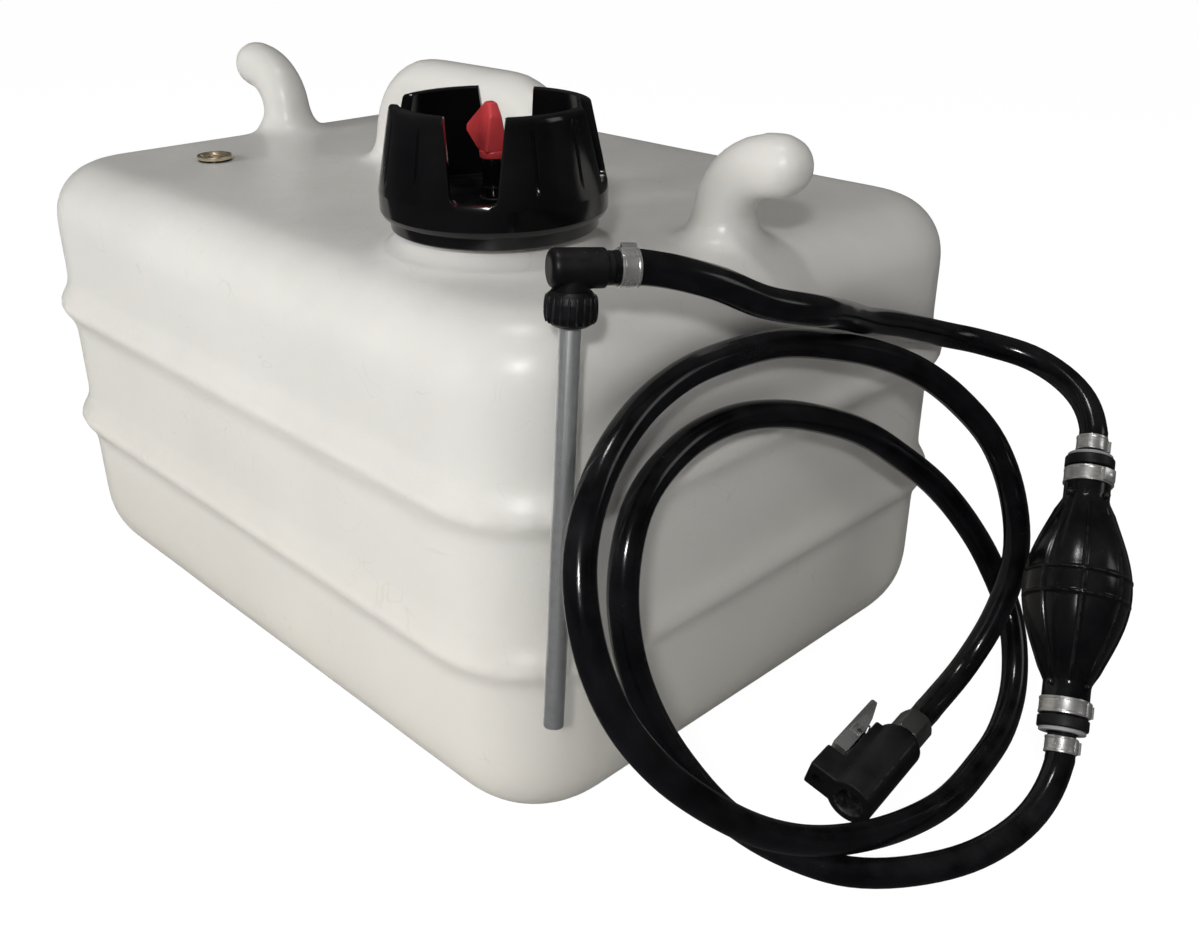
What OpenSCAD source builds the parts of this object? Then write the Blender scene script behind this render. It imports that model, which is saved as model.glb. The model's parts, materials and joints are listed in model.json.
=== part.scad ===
// Portable outboard fuel tank with filler cap, pickup, hose, primer bulb and engine connector.
// Millimetres. Origin: middle of the tank's underside, +X along the tank, +Z up.

/* [Tank] */
// Length of the tank over its flat ends
tank_l = 410; // [380:1:460]
// Width of the tank
tank_w = 306; // [290:1:330]
// Height of the tank to its flat top
tank_h = 235; // [225:1:260]
// Thickness of the moulded wall
wall_t = 4; // [3:0.5:6]
// Radius of the upright corners, seen from above
corner_r = 48; // [44:1:56]
// Radius of the rounded top edge
top_r = 29; // [24:1:32]
// Radius of the rounded bottom edge
bottom_r = 42; // [34:1:44]
// How far a stiffening bead stands out of the wall
bead_out = 7; // [4:0.5:7]
// Height of a bead
bead_h = 30; // [24:1:34]
// Height of the lower bead's crest
bead_low_z = 93; // [85:1:98]
// Height of the upper bead's crest
bead_high_z = 160; // [150:1:165]

/* [Handle and hooks] */
// Distance between the middles of the handle's legs
grip_span = 122; // [116:1:140]
// Height of the handle above the tank
grip_rise = 55; // [52:1:64]
// Thickness of the handle's bar
bar_d = 29; // [24:1:32]
// Radius of the bar's bend, on its middle line
bar_bend_r = 32; // [26:1:36]
// Distance from the middle of the tank to the left hook's root
hook_left_x = 177; // [170:1:180]
// Distance from the middle of the tank to the right hook's root
hook_right_x = 166; // [160:1:172]
// Thickness of a hook
hook_d = 27; // [24:1:30]
// Height of a hook above the tank
hook_rise = 48; // [42:1:52]
// How far a hook's tip reaches outwards from its root
hook_reach = 43; // [38:1:48]

/* [Filler] */
// Filler place along the tank
filler_x = 108; // [100:1:112]
// Distance of the filler from the tank's front side
filler_in = 75; // [71:1:81]
// Outer radius of the filler neck
neck_r = 33; // [31:0.5:34]
// Radius of the filler mouth
mouth_r = 27; // [25:0.5:28]
// Height of the neck above the tank
neck_h = 15; // [14:0.5:19]
// Radius of the raised collar round the neck, at its top
collar_r = 40; // [38:0.5:42]
// Height of the collar
collar_h = 9; // [7:0.5:10]
// Thread clearance between neck and cap, on the radius
thread_gap = 0.4; // [0.2:0.05:0.6]

/* [Cap] */
// Radius of the cap's widest band
cap_r = 47; // [45:0.5:49]
// Radius of the cap's lower ring
cap_ring_r = 43; // [42:0.5:44]
// Radius of the crown's rim
crown_r = 40.5; // [39:0.5:42]
// Height of the cap over all
cap_h = 49.5; // [47:0.5:54]
// Height of the cap's lower ring
cap_ring_h = 5; // [4:0.5:6]
// Height of the cap's widest band above its lower edge
cap_band_h = 16; // [14:0.5:17]
// Wall of the crown
crown_wall = 4; // [3:0.5:5]
// Thickness of the cap's web over the neck
cap_web = 3; // [2.5:0.5:4]
// Width of a notch at the crown's rim
notch_top_w = 24; // [20:0.5:26]
// Width of a notch at its bottom
notch_low_w = 18; // [15:0.5:19]
// Depth of a notch
notch_depth = 31.5; // [28:0.5:33]
// Number of notches
notches = 4; // [3:1:5]
// Bearing of the first notch
notch_turn = -50; // [-60:1:-40]
// Width of a groove in a lug
groove_w = 1.6; // [1:0.1:2]
// Depth of a groove in a lug
groove_d = 1; // [0.6:0.1:1.4]
// Angle between a notch's middle and the nearest groove
groove_turn = 31.5; // [29:0.5:33]
// Thickness of the cap's gasket
gasket_t = 2; // [1.5:0.1:2.5]

/* [Vent] */
// Radius of the vent screw's shank
vent_r = 4; // [3:0.1:4.5]
// Running clearance round the shank, on the radius
vent_gap = 0.06; // [0.04:0.01:0.1]
// Radius of the vent screw's neck under the knob
vent_neck_r = 5.2; // [4.8:0.1:6]
// Height of the vent screw's neck
vent_neck_h = 15.5; // [12:0.5:17]
// Height of the red knob
knob_h = 22; // [18:0.5:24]
// Width of the knob over its wing
knob_l = 26; // [22:0.5:30]
// Thickness of the knob at its foot
knob_t = 10; // [9:0.5:12]
// Bearing of the knob's wing
knob_turn = 160; // [120:1:200]

/* [Insert] */
// Insert place along the tank
insert_x = -126; // [-130:1:-110]
// Distance of the insert from the tank's front side
insert_in = 75; // [71:1:83]
// Radius of the insert's flange
insert_flange_r = 9.2; // [9:0.1:11]
// Height of the insert's flange above the tank
insert_flange_h = 2; // [1.5:0.1:3]
// Radius of the insert's shank in the boss
insert_shank_r = 8; // [7.6:0.1:8.5]
// Radius of the insert's threaded hole
insert_hole_r = 6; // [5:0.1:6.5]
// Length of the insert's shank
insert_l = 14; // [12:0.5:16]
// Wall of the boss round the insert
boss_wall = 4; // [3:0.5:5]

/* [Pickup] */
// Radius of the dip tube
dip_r = 4; // [3.5:0.1:4.5]
// Wall of the dip tube
dip_wall = 0.8; // [0.6:0.1:1.2]
// Length of the dip tube below the nut
dip_l = 156.5; // [150:0.5:160]
// Outer radius of the pickup nut
nut_r = 9.5; // [9:0.1:10.5]
// Height of the pickup nut
nut_h = 12.5; // [11:0.5:12.5]
// Number of grooves round the pickup nut
nut_grooves = 20; // [12:1:24]
// Radius of the elbow's barrels
elbow_r = 7; // [6.8:0.1:7.5]
// Height of the elbow's middle above the nut's underside
elbow_z = 20; // [20:0.5:22]
// Reach of the elbow's barrel behind its middle
elbow_back = 8.5; // [8:0.5:10]
// Reach of the elbow from its middle to the hose
elbow_reach = 14; // [13:0.5:16]
// Radius of the spigot that the nut screws on
spigot_r = 6.2; // [6:0.1:6.5]
// Running clearance of the nut, on the radius
nut_gap = 0.06; // [0.04:0.01:0.1]

/* [Hose] */
// Outer radius of the fuel hose
hose_r = 6.2; // [5.8:0.1:6.2]
// Radius of the hose's bore
hose_bore_r = 3.2; // [3:0.1:3.8]
// Length of a barb inside the hose
barb_l = 10; // [8:0.5:11]
// Bore through the barbs, on the radius
barb_bore_r = 2; // [1.6:0.1:2.2]
// Width of a hose clamp
clamp_w = 7; // [5:0.5:7]
// Thickness of a clamp's band
clamp_t = 0.8; // [0.6:0.1:1.2]

/* [Primer bulb] */
// Half of the length between the two hose ends
bulb_half = 65; // [64:0.5:68]
// Largest radius of the bulb
bulb_r = 22.5; // [21:0.5:24]
// Outer radius of the bulb's necks
bulb_neck_r = 10.2; // [10:0.1:11]
// Radius of the valves' flanges
valve_flange_r = 11; // [10.5:0.1:12]
// Half of the rubber's length
rubber_half = 58; // [56:0.5:58]
// Thickness of the rubber
rubber_t = 2.5; // [2:0.1:2.5]
// Length of a neck
rubber_neck_l = 15; // [14:0.5:18]
// Height of the ridges on the rubber
rib_h = 1.2; // [0.8:0.1:1.6]
// Distance between the two ridges round the bulb
ring_span = 11; // [9:0.5:14]
// Number of long ridges
ribs = 8; // [6:1:12]
// Number of small nubs round each neck
nubs = 4; // [3:1:8]
// Travel of a check valve's disc
valve_travel = 2.5; // [2:0.1:3]
// Radius of a check valve's disc
disc_r = 4.8; // [4.6:0.1:5]
// Thickness of a check valve's disc
disc_t = 1.6; // [1.2:0.1:2]

/* [Engine connector] */
// Radius of the connector's barrel
barrel_r = 11; // [10.5:0.1:12]
// Length of the connector's barrel
barrel_l = 46; // [44:0.5:48]
// Radius of the connector's mouth
socket_r = 6.5; // [6:0.1:7]
// Depth of the connector's mouth
socket_depth = 20; // [18:0.5:21]
// Width of the latch housing
housing_w = 14; // [13:0.5:16]
// Height of the housing in front of the latch, from the barrel's middle
housing_r = 22; // [21.5:0.5:24]
// Length of the housing in front of the latch
housing_l = 15; // [13:0.5:16]
// Height of the housing's bed under the latch, from the barrel's middle
bed_r = 13; // [12.5:0.5:14]
// Radius of the locating hole beside the mouth
locator_r = 2.2; // [1.8:0.1:2.4]
// Length of the latch lever
latch_l = 35; // [32:0.5:36]
// Width of the latch lever
latch_w = 10; // [9:0.5:11]
// Thickness of the latch's sheet
latch_t = 1.2; // [1:0.1:1.4]
// Radius of the latch's pin
pin_r = 1.3; // [1.1:0.05:1.5]
// Running clearance round the latch's pin, on the radius
pin_gap = 0.05; // [0.03:0.01:0.08]
// Travel of the connector's plunger
plunger_travel = 3; // [2:0.5:4]

/* [Hidden] */

// Colours
poly_c = [0.86, 0.84, 0.80];
black_c = [0.06, 0.06, 0.07];
rubber_c = [0.04, 0.04, 0.045];
brass_c = [0.72, 0.55, 0.28];
red_c = [0.72, 0.12, 0.12];
alu_c = [0.62, 0.63, 0.64];
steel_c = [0.72, 0.71, 0.68];
grey_c = [0.45, 0.45, 0.46];

$fn = 64;
seam = 0.01;             // overlap that joins two shapes of one solid
face_gap = 0.2;          // gap between flat faces that slide on each other
corner_steps = 9;
edge_steps = 8;
fullness = 0.6;
hook_straight = 11;      // a hook's upright part above the tank
bead_steps = 8;
bulb_steps = 9;
bar_sides = 20;
hose_sides = 10;

// Filler and insert: their places across the tank, and the filler's heights
filler_y = filler_in - tank_w / 2;
insert_y = insert_in - tank_w / 2;
cap_z = tank_h + collar_h + 2.5;
crown_floor_z = neck_top_z() + gasket_t + cap_web;

// Pickup, bulb and connector: where each stands beside the tank and how it leans
pickup_off = [0.1, 25.7, 0.8];   // from the corner of the tank's end, front and top
pickup_at = [tank_l / 2, -tank_w / 2, tank_h] + pickup_off;
pickup_tilt = 7.4;
pickup_turn = 114;
elbow_turn = -52;
bulb_at = [tank_l / 2 + 106, 86, 84];
bulb_tilt = 43;
bulb_turn = 118;
connector_at = [tank_l / 2 + 71.5, -31, 11.2];
connector_tilt = 84;
connector_turn = 95;
connector_roll = 107;

// Hose lengths that run straight out of a fitting
elbow_straight = 12;
bulb_straight = 13;
connector_straight = 14;
neck_fit = 3;            // the connector's step between barrel and nut
hex_l = 14;              // length of the connector's hexagon nut
hex_r = 8.4;             // its radius over the corners
connector_face = barrel_l + neck_fit + hex_l;
dip_end = elbow_z - barb_bore_r - 1;    // top of the dip tube in the elbow

// Route of the hose between the pickup and the primer bulb, from the top of the tank's end
tank_hose_route = [[22, -79, 11], [29, -57, 0], [34, -32, -8], [31, -8, -16], [18, 14, -25],
    [12, 37, -34], [11, 62, -42], [9, 87, -51], [9, 112, -60], [21, 133, -67], [44, 144, -73],
    [68, 142, -83]];
tank_hose_points = [for (p = tank_hose_route) [tank_l / 2 + p.x, p.y, tank_h + p.z]];
// Route of the hose between the primer bulb and the engine connector, from the tank's end
engine_hose_route = [[133, 17, 15], [127, -10, 8], [114, -37, 6.5], [94, -61, 7.5], [75, -78, 16],
    [58, -97, 36], [46, -110, 59], [36, -120, 85], [27, -124, 113], [20, -120, 141], [13, -104, 164],
    [9, -77, 176], [8, -48, 178], [10, -19, 173], [14, 9, 163], [19, 35, 150], [25, 58, 133],
    [33, 79, 114], [42, 96, 92], [53, 107, 68], [69, 106, 43], [84, 88, 23], [93, 63, 12],
    [97, 34, 7.5], [99, 5, 7.5], [97, -24, 12], [93, -52, 20], [87, -79, 31], [80, -103, 46],
    [71, -124, 65], [60, -141, 86], [49, -153, 111], [38, -156, 138], [26, -148, 163], [17, -130, 184],
    [10, -104, 198], [7, -76, 205], [7, -47, 206], [8, -17, 203], [12, 11, 196], [19, 38, 187],
    [28, 63, 174], [38, 84, 156], [49, 100, 134], [60, 106, 107], [68, 102, 80], [69, 90, 54],
    [66, 72, 31]];
engine_hose_points = [for (p = engine_hose_route) [tank_l / 2 + p.x, p.y, p.z]];

// ---------- points and sweeps ----------

function unit(v) = v / norm(v);

function neck_top_z() = tank_h + neck_h;

// A vector turned as place() turns its children
function aim(v, tilt, turn) =
    let (x = v.x * cos(tilt) + v.z * sin(tilt), z = v.z * cos(tilt) - v.x * sin(tilt))
    [x * cos(turn) - v.y * sin(turn), x * sin(turn) + v.y * cos(turn), z];

// Points on the hose's line at a distance from each fitting's hose face
function pickup_port(d) = pickup_at
    + aim([(elbow_reach + d) * cos(elbow_turn), (elbow_reach + d) * sin(elbow_turn), elbow_z],
        pickup_tilt, pickup_turn);
function bulb_port(z) = bulb_at + aim([0, 0, z], bulb_tilt, bulb_turn);
function connector_port(d) = connector_at + aim([0, 0, connector_face + d], connector_tilt, connector_turn);

// Tangents along a line of points
function tangents(p) = [for (i = [0 : len(p) - 1]) unit(p[min(i + 1, len(p) - 1)] - p[max(i - 1, 0)])];

// Side directions that turn as little as possible from one point to the next
function side_directions(t) =
    [for (i = 0, u = unit(cross(t[0], [0.3, 0.2, 1])); i < len(t);
        i = i + 1, u = i < len(t) ? unit(u - (u * t[i]) * t[i]) : u) u];

// Rings round a line of points; r is a list of pairs of half widths
function sweep_rings(p, r, sides) =
    let (t = tangents(p), u = side_directions(t))
    [for (i = [0 : len(p) - 1]) let (v = cross(t[i], u[i]))
        [for (k = [0 : sides - 1]) let (a = 360 * k / sides)
            p[i] + r[i].x * cos(a) * u[i] + r[i].y * sin(a) * v]];

// A closed solid through rings of equal counts
module loft(rings) {
    n = len(rings[0]);
    m = len(rings);
    polyhedron(
        points = [for (ring = rings) each ring],
        faces = concat(
            [[for (k = [0 : n - 1]) k]],
            [for (i = [0 : m - 2], k = [0 : n - 1])
                [i * n + k, (i + 1) * n + k, (i + 1) * n + (k + 1) % n]],
            [for (i = [0 : m - 2], k = [0 : n - 1])
                [i * n + k, (i + 1) * n + (k + 1) % n, i * n + (k + 1) % n]],
            [[for (k = [n - 1 : -1 : 0]) (m - 1) * n + k]]));
}

module place(at, tilt, turn) {
    translate(at) rotate([0, tilt, turn]) children();
}

module in_pickup() {
    place(pickup_at, pickup_tilt, pickup_turn) children();
}

module in_bulb() {
    place(bulb_at, bulb_tilt, bulb_turn) children();
}

module in_connector() {
    place(connector_at, connector_tilt, connector_turn) rotate([0, 0, connector_roll]) children();
}

module tube(r_out, r_in, z0, z1) {
    translate([0, 0, z0])
        difference() {
            cylinder(r = r_out, h = z1 - z0);
            translate([0, 0, -1]) cylinder(r = r_in, h = z1 - z0 + 2);
        }
}

// ---------- tank ----------

// One level of the tank: a rectangle with round corners, drawn in by inset
function tank_level(inset, z) =
    let (r = max(corner_r - inset, 2), x = tank_l / 2 - inset - r, y = tank_w / 2 - inset - r)
    [for (q = [0 : 3], k = [0 : corner_steps])
        let (a = 90 * q + 90 * k / corner_steps, sx = (q == 0 || q == 3) ? 1 : -1, sy = q < 2 ? 1 : -1)
        [sx * x + r * cos(a), sy * y + r * sin(a), z]];

function bead_levels(z) = [for (k = [0 : bead_steps])
    tank_level(-bead_out * (1 - cos(360 * k / bead_steps)) / 2, z + bead_h * (k / bead_steps - 0.5))];

function bottom_levels(inset) = let (r = bottom_r - inset)
    [for (k = [0 : edge_steps]) let (a = 90 * k / edge_steps)
        tank_level(inset + r * (1 - sin(a)), inset + r * (1 - cos(a)))];

function top_levels(inset) = let (r = top_r - inset)
    [for (k = [0 : edge_steps]) let (a = 90 * k / edge_steps)
        tank_level(inset + r * (1 - cos(a)), tank_h - top_r + r * sin(a))];

module tank_outside() {
    loft(concat(bottom_levels(0), bead_levels(bead_low_z), bead_levels(bead_high_z), top_levels(0)));
}

module tank_inside() {
    loft(concat(bottom_levels(wall_t), top_levels(wall_t)));
}

// The bar's line rises, bends over and comes down again
function grip_line() =
    let (r = bar_bend_r, top = tank_h + grip_rise - bar_d / 2, x = grip_span / 2, root = tank_h - wall_t / 2)
    concat([[-x, 0, root], [-x, 0, root + 5], [-x, 0, root + 10]],
        [for (k = [0 : 6]) let (a = 180 - 15 * k) [-x + r + r * cos(a), 0, top - r + r * sin(a)]],
        [for (k = [0 : 6]) let (a = 90 - 15 * k) [x - r + r * cos(a), 0, top - r + r * sin(a)]],
        [[x, 0, root + 10], [x, 0, root + 5], [x, 0, root]]);

module grip() {
    line = grip_line();
    last = len(line) - 1;
    flare = [1.35, 1.15, 1.03];
    loft(sweep_rings(line, [for (i = [0 : last]) let (f = i < 3 ? flare[i] : i > last - 3 ? flare[last - i] : 1)
        [bar_d / 2 * f, bar_d / 2 * f]], bar_sides));
}

// A hook rises, bends outwards along a quarter of an ellipse and ends in a round tip
module hook(side, root_x) {
    r = hook_d / 2;
    root = tank_h - wall_t / 2;
    bend_z = tank_h + hook_straight;
    bend_x = hook_reach - r;
    bend_rise = hook_rise - r - hook_straight;
    turns = 7;
    tips = 4;
    line = concat([[0, root], [0, root + 4], [0, root + 8]],
        [for (k = [0 : turns]) let (a = 90 * k / turns) [bend_x * (1 - cos(a)), bend_z + bend_rise * sin(a)]],
        [for (k = [1 : tips]) let (a = 80 * k / tips) [bend_x + r * sin(a), bend_z + bend_rise]]);
    size = concat([1.4, 1.18, 1.05], [for (k = [0 : turns]) 1], [for (k = [1 : tips]) cos(80 * k / tips)]);
    loft(sweep_rings([for (p = line) [side * (root_x + p.x), 0, p.y]], [for (s = size) [r * s, r * s]], bar_sides));
}

// The tank swells up to the neck
module collar() {
    foot_r = collar_r + collar_h;
    rotate_extrude()
        polygon([[mouth_r, tank_h - wall_t / 2], [foot_r, tank_h - wall_t / 2], [foot_r, tank_h],
            [collar_r + 2, tank_h + collar_h * 0.35], [collar_r, tank_h + collar_h - 2],
            [collar_r - 2, tank_h + collar_h], [mouth_r, tank_h + collar_h]]);
}

module tank_shell() {
    boss_r = insert_shank_r + boss_wall;
    color(poly_c)
        difference() {
            union() {
                difference() {
                    union() {
                        tank_outside();
                        grip();
                        hook(-1, hook_left_x);
                        hook(1, hook_right_x);
                    }
                    tank_inside();
                }
                translate([filler_x, filler_y, tank_h - wall_t / 2]) cylinder(r = neck_r, h = neck_h + wall_t / 2);
                translate([filler_x, filler_y, 0]) collar();
                translate([insert_x, insert_y, tank_h - insert_l - 2]) cylinder(r = boss_r, h = insert_l + 2 - seam);
            }
            translate([filler_x, filler_y, tank_h - wall_t - 1]) cylinder(r = mouth_r, h = neck_h + wall_t + 2);
            translate([insert_x, insert_y, tank_h - insert_l - 3]) cylinder(r = insert_shank_r, h = insert_l + 4);
        }
}

module brass_insert() {
    color(brass_c)
        translate([insert_x, insert_y, 0])
            difference() {
                union() {
                    translate([0, 0, tank_h - insert_l]) cylinder(r = insert_shank_r, h = insert_l + 1);
                    translate([0, 0, tank_h + 1]) cylinder(r = insert_flange_r, h = insert_flange_h);
                }
                translate([0, 0, tank_h - insert_l - 1]) cylinder(r = insert_hole_r, h = insert_l + insert_flange_h + 4);
                translate([0, 0, tank_h + insert_flange_h])
                    cylinder(r1 = insert_hole_r, r2 = insert_hole_r + 1.5, h = 1.01);
            }
}

module insert_seal() {
    color(rubber_c)
        translate([insert_x, insert_y, 0]) tube(insert_flange_r - 0.6, insert_shank_r, tank_h, tank_h + 1);
}

// ---------- cap ----------

module notch_cut() {
    half_top = notch_top_w / 2;
    half_low = notch_low_w / 2;
    round_r = 3;
    slope = (half_top - half_low) / notch_depth;
    translate([crown_r - 20, 0, cap_z + cap_h - notch_depth]) rotate([90, 0, 90])
        linear_extrude(40)
            polygon(concat(
                [for (k = [0 : 4]) let (a = 270 - 90 * k / 4)
                    [-half_low + round_r + round_r * cos(a), round_r + round_r * sin(a)]],
                [[-half_top - slope * 5, notch_depth + 5], [half_top + slope * 5, notch_depth + 5]],
                [for (k = [0 : 4]) let (a = -90 * k / 4)
                    [half_low - round_r + round_r * cos(a), round_r + round_r * sin(a)]]));
}

module groove_cut() {
    lean = atan((cap_r - crown_r) / (cap_h - cap_band_h));
    translate([cap_r, 0, cap_z + cap_band_h]) rotate([0, -lean, 0])
        translate([-groove_d, -groove_w / 2, 2]) cube([5, groove_w, cap_h - cap_band_h - 6]);
}

module filler_cap() {
    slope = (cap_r - crown_r) / (cap_h - cap_band_h);
    floor_r = cap_r - slope * (crown_floor_z - cap_z - cap_band_h) - crown_wall;
    color(black_c)
        translate([filler_x, filler_y, 0])
            difference() {
                rotate_extrude()
                    polygon([[0, cap_z], [cap_ring_r, cap_z], [cap_ring_r, cap_z + cap_ring_h],
                        [cap_r - 1, cap_z + cap_ring_h + 1], [cap_r, cap_z + cap_ring_h + 3],
                        [cap_r, cap_z + cap_band_h], [crown_r + 0.8, cap_z + cap_h - 2],
                        [crown_r - 0.6, cap_z + cap_h], [crown_r - crown_wall, cap_z + cap_h],
                        [min(floor_r, cap_r - crown_wall), crown_floor_z], [0, crown_floor_z]]);
                translate([0, 0, cap_z - 1])
                    cylinder(r = neck_r + thread_gap, h = neck_top_z() + gasket_t - cap_z + 1);
                cylinder(r = vent_r + vent_gap, h = cap_z + cap_h);
                for (k = [0 : notches - 1])
                    rotate([0, 0, notch_turn + 360 * k / notches]) {
                        notch_cut();
                        rotate([0, 0, groove_turn]) groove_cut();
                        rotate([0, 0, -groove_turn]) groove_cut();
                    }
            }
}

module cap_gasket() {
    color(rubber_c)
        translate([filler_x, filler_y, 0])
            tube(neck_r - 1, mouth_r + 1, neck_top_z(), neck_top_z() + gasket_t - face_gap);
}

module vent_screw() {
    color(black_c)
        translate([filler_x, filler_y, 0])
            difference() {
                union() {
                    translate([0, 0, crown_floor_z - cap_web - 3]) cylinder(r = vent_r, h = cap_web + 5);
                    translate([0, 0, crown_floor_z + 1 + face_gap]) cylinder(r = vent_neck_r, h = vent_neck_h);
                }
                translate([0, 0, crown_floor_z - cap_web - 4]) cylinder(r = 1.5, h = vent_neck_h + 2);
            }
}

module vent_seal() {
    color(rubber_c)
        translate([filler_x, filler_y, 0])
            tube(vent_neck_r + 1, vent_r + vent_gap, crown_floor_z, crown_floor_z + 1);
}

// The knob: a round foot under a wing that narrows upwards
module vent_knob() {
    foot_z = crown_floor_z + 1 + face_gap + vent_neck_h;
    foot_h = 3;
    tip_t = 3.6;
    color(red_c)
        translate([filler_x, filler_y, foot_z]) {
            cylinder(r = knob_t / 2 + 0.6, h = foot_h);
            rotate([0, 0, knob_turn])
                translate([0, 0, foot_h - 0.5])
                    intersection() {
                        translate([0, knob_t / 2, 0]) rotate([90, 0, 0])
                            linear_extrude(knob_t)
                                polygon([[-knob_t / 2, 0], [-knob_t / 2, (knob_h - foot_h) * 0.75],
                                    [-tip_t / 2, knob_h - foot_h], [tip_t, knob_h - foot_h],
                                    [knob_l - knob_t / 2, knob_h * 0.36], [knob_l - knob_t / 2, knob_h * 0.22],
                                    [knob_t / 2, 0]]);
                        translate([-knob_l, 0, 0]) rotate([90, 0, 90])
                            linear_extrude(2 * knob_l)
                                polygon([[-knob_t / 2, 0], [knob_t / 2, 0], [tip_t / 2, knob_h], [-tip_t / 2, knob_h]]);
                    }
        }
}

// ---------- pickup ----------

module dip_tube() {
    color(alu_c) in_pickup() tube(dip_r, dip_r - dip_wall, -dip_l, dip_end);
}

module pickup_nut() {
    lip = 3;
    color(black_c)
        in_pickup()
            difference() {
                rotate_extrude()
                    polygon([[0, 0], [nut_r - 3.5, 0], [nut_r - 1.2, 1.2], [nut_r, 3.5], [nut_r, nut_h - 4],
                        [nut_r - 0.8, nut_h - 1.6], [nut_r - 2.4, nut_h], [0, nut_h]]);
                translate([0, 0, -1]) cylinder(r = dip_r + nut_gap, h = nut_h + 2);
                translate([0, 0, lip]) cylinder(r = spigot_r + nut_gap, h = nut_h);
                for (k = [0 : nut_grooves - 1])
                    rotate([0, 0, 360 * k / nut_grooves])
                        translate([nut_r - 0.7, -0.5, 2]) cube([2, 1, nut_h - 4]);
            }
}

module pickup_seal() {
    color(rubber_c) in_pickup() tube(spigot_r - 0.2, dip_r, 3 + face_gap, 4.2);
}

// The elbow's barrel: round at the back, with a step and a barb at the hose end
module elbow_barrel() {
    step = 2.5;
    rotate([0, 90, elbow_turn])
        rotate_extrude()
            polygon([[0, -elbow_back], [elbow_r - 2.5, -elbow_back], [elbow_r - 0.8, -elbow_back + 0.8],
                [elbow_r, -elbow_back + 2.5], [elbow_r, elbow_reach - step],
                [elbow_r - 1, elbow_reach - step], [elbow_r - 1, elbow_reach], [hose_bore_r, elbow_reach],
                [hose_bore_r, elbow_reach + barb_l - 1], [hose_bore_r - 0.6, elbow_reach + barb_l],
                [0, elbow_reach + barb_l]]);
}

module pickup_elbow() {
    spigot_z = 4.2;
    color(black_c)
        in_pickup()
            difference() {
                union() {
                    translate([0, 0, spigot_z]) cylinder(r = spigot_r, h = nut_h);
                    translate([0, 0, nut_h + face_gap]) cylinder(r = elbow_r - 0.8, h = elbow_z - nut_h);
                    translate([0, 0, elbow_z]) elbow_barrel();
                }
                cylinder(r = dip_r, h = dip_end);
                cylinder(r = dip_r - dip_wall, h = elbow_z + barb_bore_r + 0.5);
                translate([0, 0, elbow_z]) rotate([0, 90, elbow_turn])
                    cylinder(r = barb_bore_r, h = elbow_reach + barb_l + 1);
            }
}

// ---------- clamps and hoses ----------

// A band round a hose or neck with its crimped ear
module band_clamp(r, ear_turn) {
    color(steel_c) {
        tube(r + clamp_t, r, 0, clamp_w);
        rotate([0, 0, ear_turn])
            translate([r + clamp_t - 0.2, -2.5, 0.5])
                cube([1.6, 5, clamp_w - 1]);
    }
}

module elbow_clamp() {
    in_pickup() translate([0, 0, elbow_z]) rotate([0, 90, elbow_turn])
        translate([0, 0, elbow_reach + 2]) band_clamp(hose_r, 180);
}

// A hose along its points, bored at both ends for the barbs
module hose(points, start_at, start_turn, end_at, end_turn) {
    color(rubber_c)
        difference() {
            loft(sweep_rings(points, [for (p = points) [hose_r, hose_r]], hose_sides));
            translate(start_at) rotate(start_turn) translate([0, 0, -1]) cylinder(r = hose_bore_r, h = barb_l + 1.5);
            translate(end_at) rotate(end_turn) translate([0, 0, -1]) cylinder(r = hose_bore_r, h = barb_l + 1.5);
        }
}

module tank_hose() {
    points = concat([pickup_port(0), pickup_port(elbow_straight)], tank_hose_points,
        [bulb_port(bulb_half + bulb_straight), bulb_port(bulb_half)]);
    out = pickup_port(1) - pickup_port(0);
    hose(points, pickup_port(0), [0, acos(out.z), atan2(out.y, out.x)], bulb_port(bulb_half), [0, bulb_tilt, bulb_turn]);
}

module engine_hose() {
    points = concat([bulb_port(-bulb_half), bulb_port(-bulb_half - bulb_straight)], engine_hose_points,
        [connector_port(connector_straight), connector_port(0)]);
    hose(points, bulb_port(-bulb_half), [0, bulb_tilt + 180, bulb_turn], connector_port(0),
        [0, connector_tilt, connector_turn]);
}

// ---------- primer bulb ----------

// Radius of the bulb at a height; a lower fullness makes a fatter spindle
function bulb_radius(z, r_neck, r_mid) =
    let (reach = rubber_half - rubber_neck_l, t = min(abs(z) / reach, 1))
    r_neck + (r_mid - r_neck) * pow((1 + cos(180 * t)) / 2, fullness);

// Half of the bulb's section, grown outwards or, if grow is negative, drawn in
function bulb_outline(half, grow) =
    let (reach = rubber_half - rubber_neck_l)
    concat([[0, -half], [bulb_neck_r + grow, -half]],
        [for (k = [-bulb_steps : bulb_steps]) let (z = k * reach / bulb_steps)
            [bulb_radius(z, bulb_neck_r + grow, bulb_r + grow), z]],
        [[bulb_neck_r + grow, half], [0, half]]);

module primer_bulb() {
    reach = rubber_half - rubber_neck_l;
    nub = 2.4;
    color(rubber_c)
        in_bulb()
            difference() {
                union() {
                    rotate_extrude() polygon(bulb_outline(rubber_half, 0));
                    intersection() {
                        rotate_extrude() polygon(bulb_outline(reach + 1, rib_h));
                        union() {
                            for (k = [0 : ribs - 1])
                                rotate([0, 0, 360 * k / ribs]) translate([0, -0.8, -reach]) cube([bulb_r + 5, 1.6, 2 * reach]);
                            for (s = [-1, 1])
                                translate([0, 0, s * ring_span / 2 - 0.8]) cylinder(r = bulb_r + 5, h = 1.6);
                        }
                    }
                    for (s = [-1, 1], k = [0 : nubs - 1])
                        rotate([0, 0, 360 * (k + 0.5) / nubs])
                            translate([bulb_neck_r - 0.5, -nub / 2, s * (reach + 1) - nub / 2])
                                cube([nub, nub, nub]);
                }
                rotate_extrude() polygon(bulb_outline(rubber_half + 1, -rubber_t));
            }
}

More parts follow.
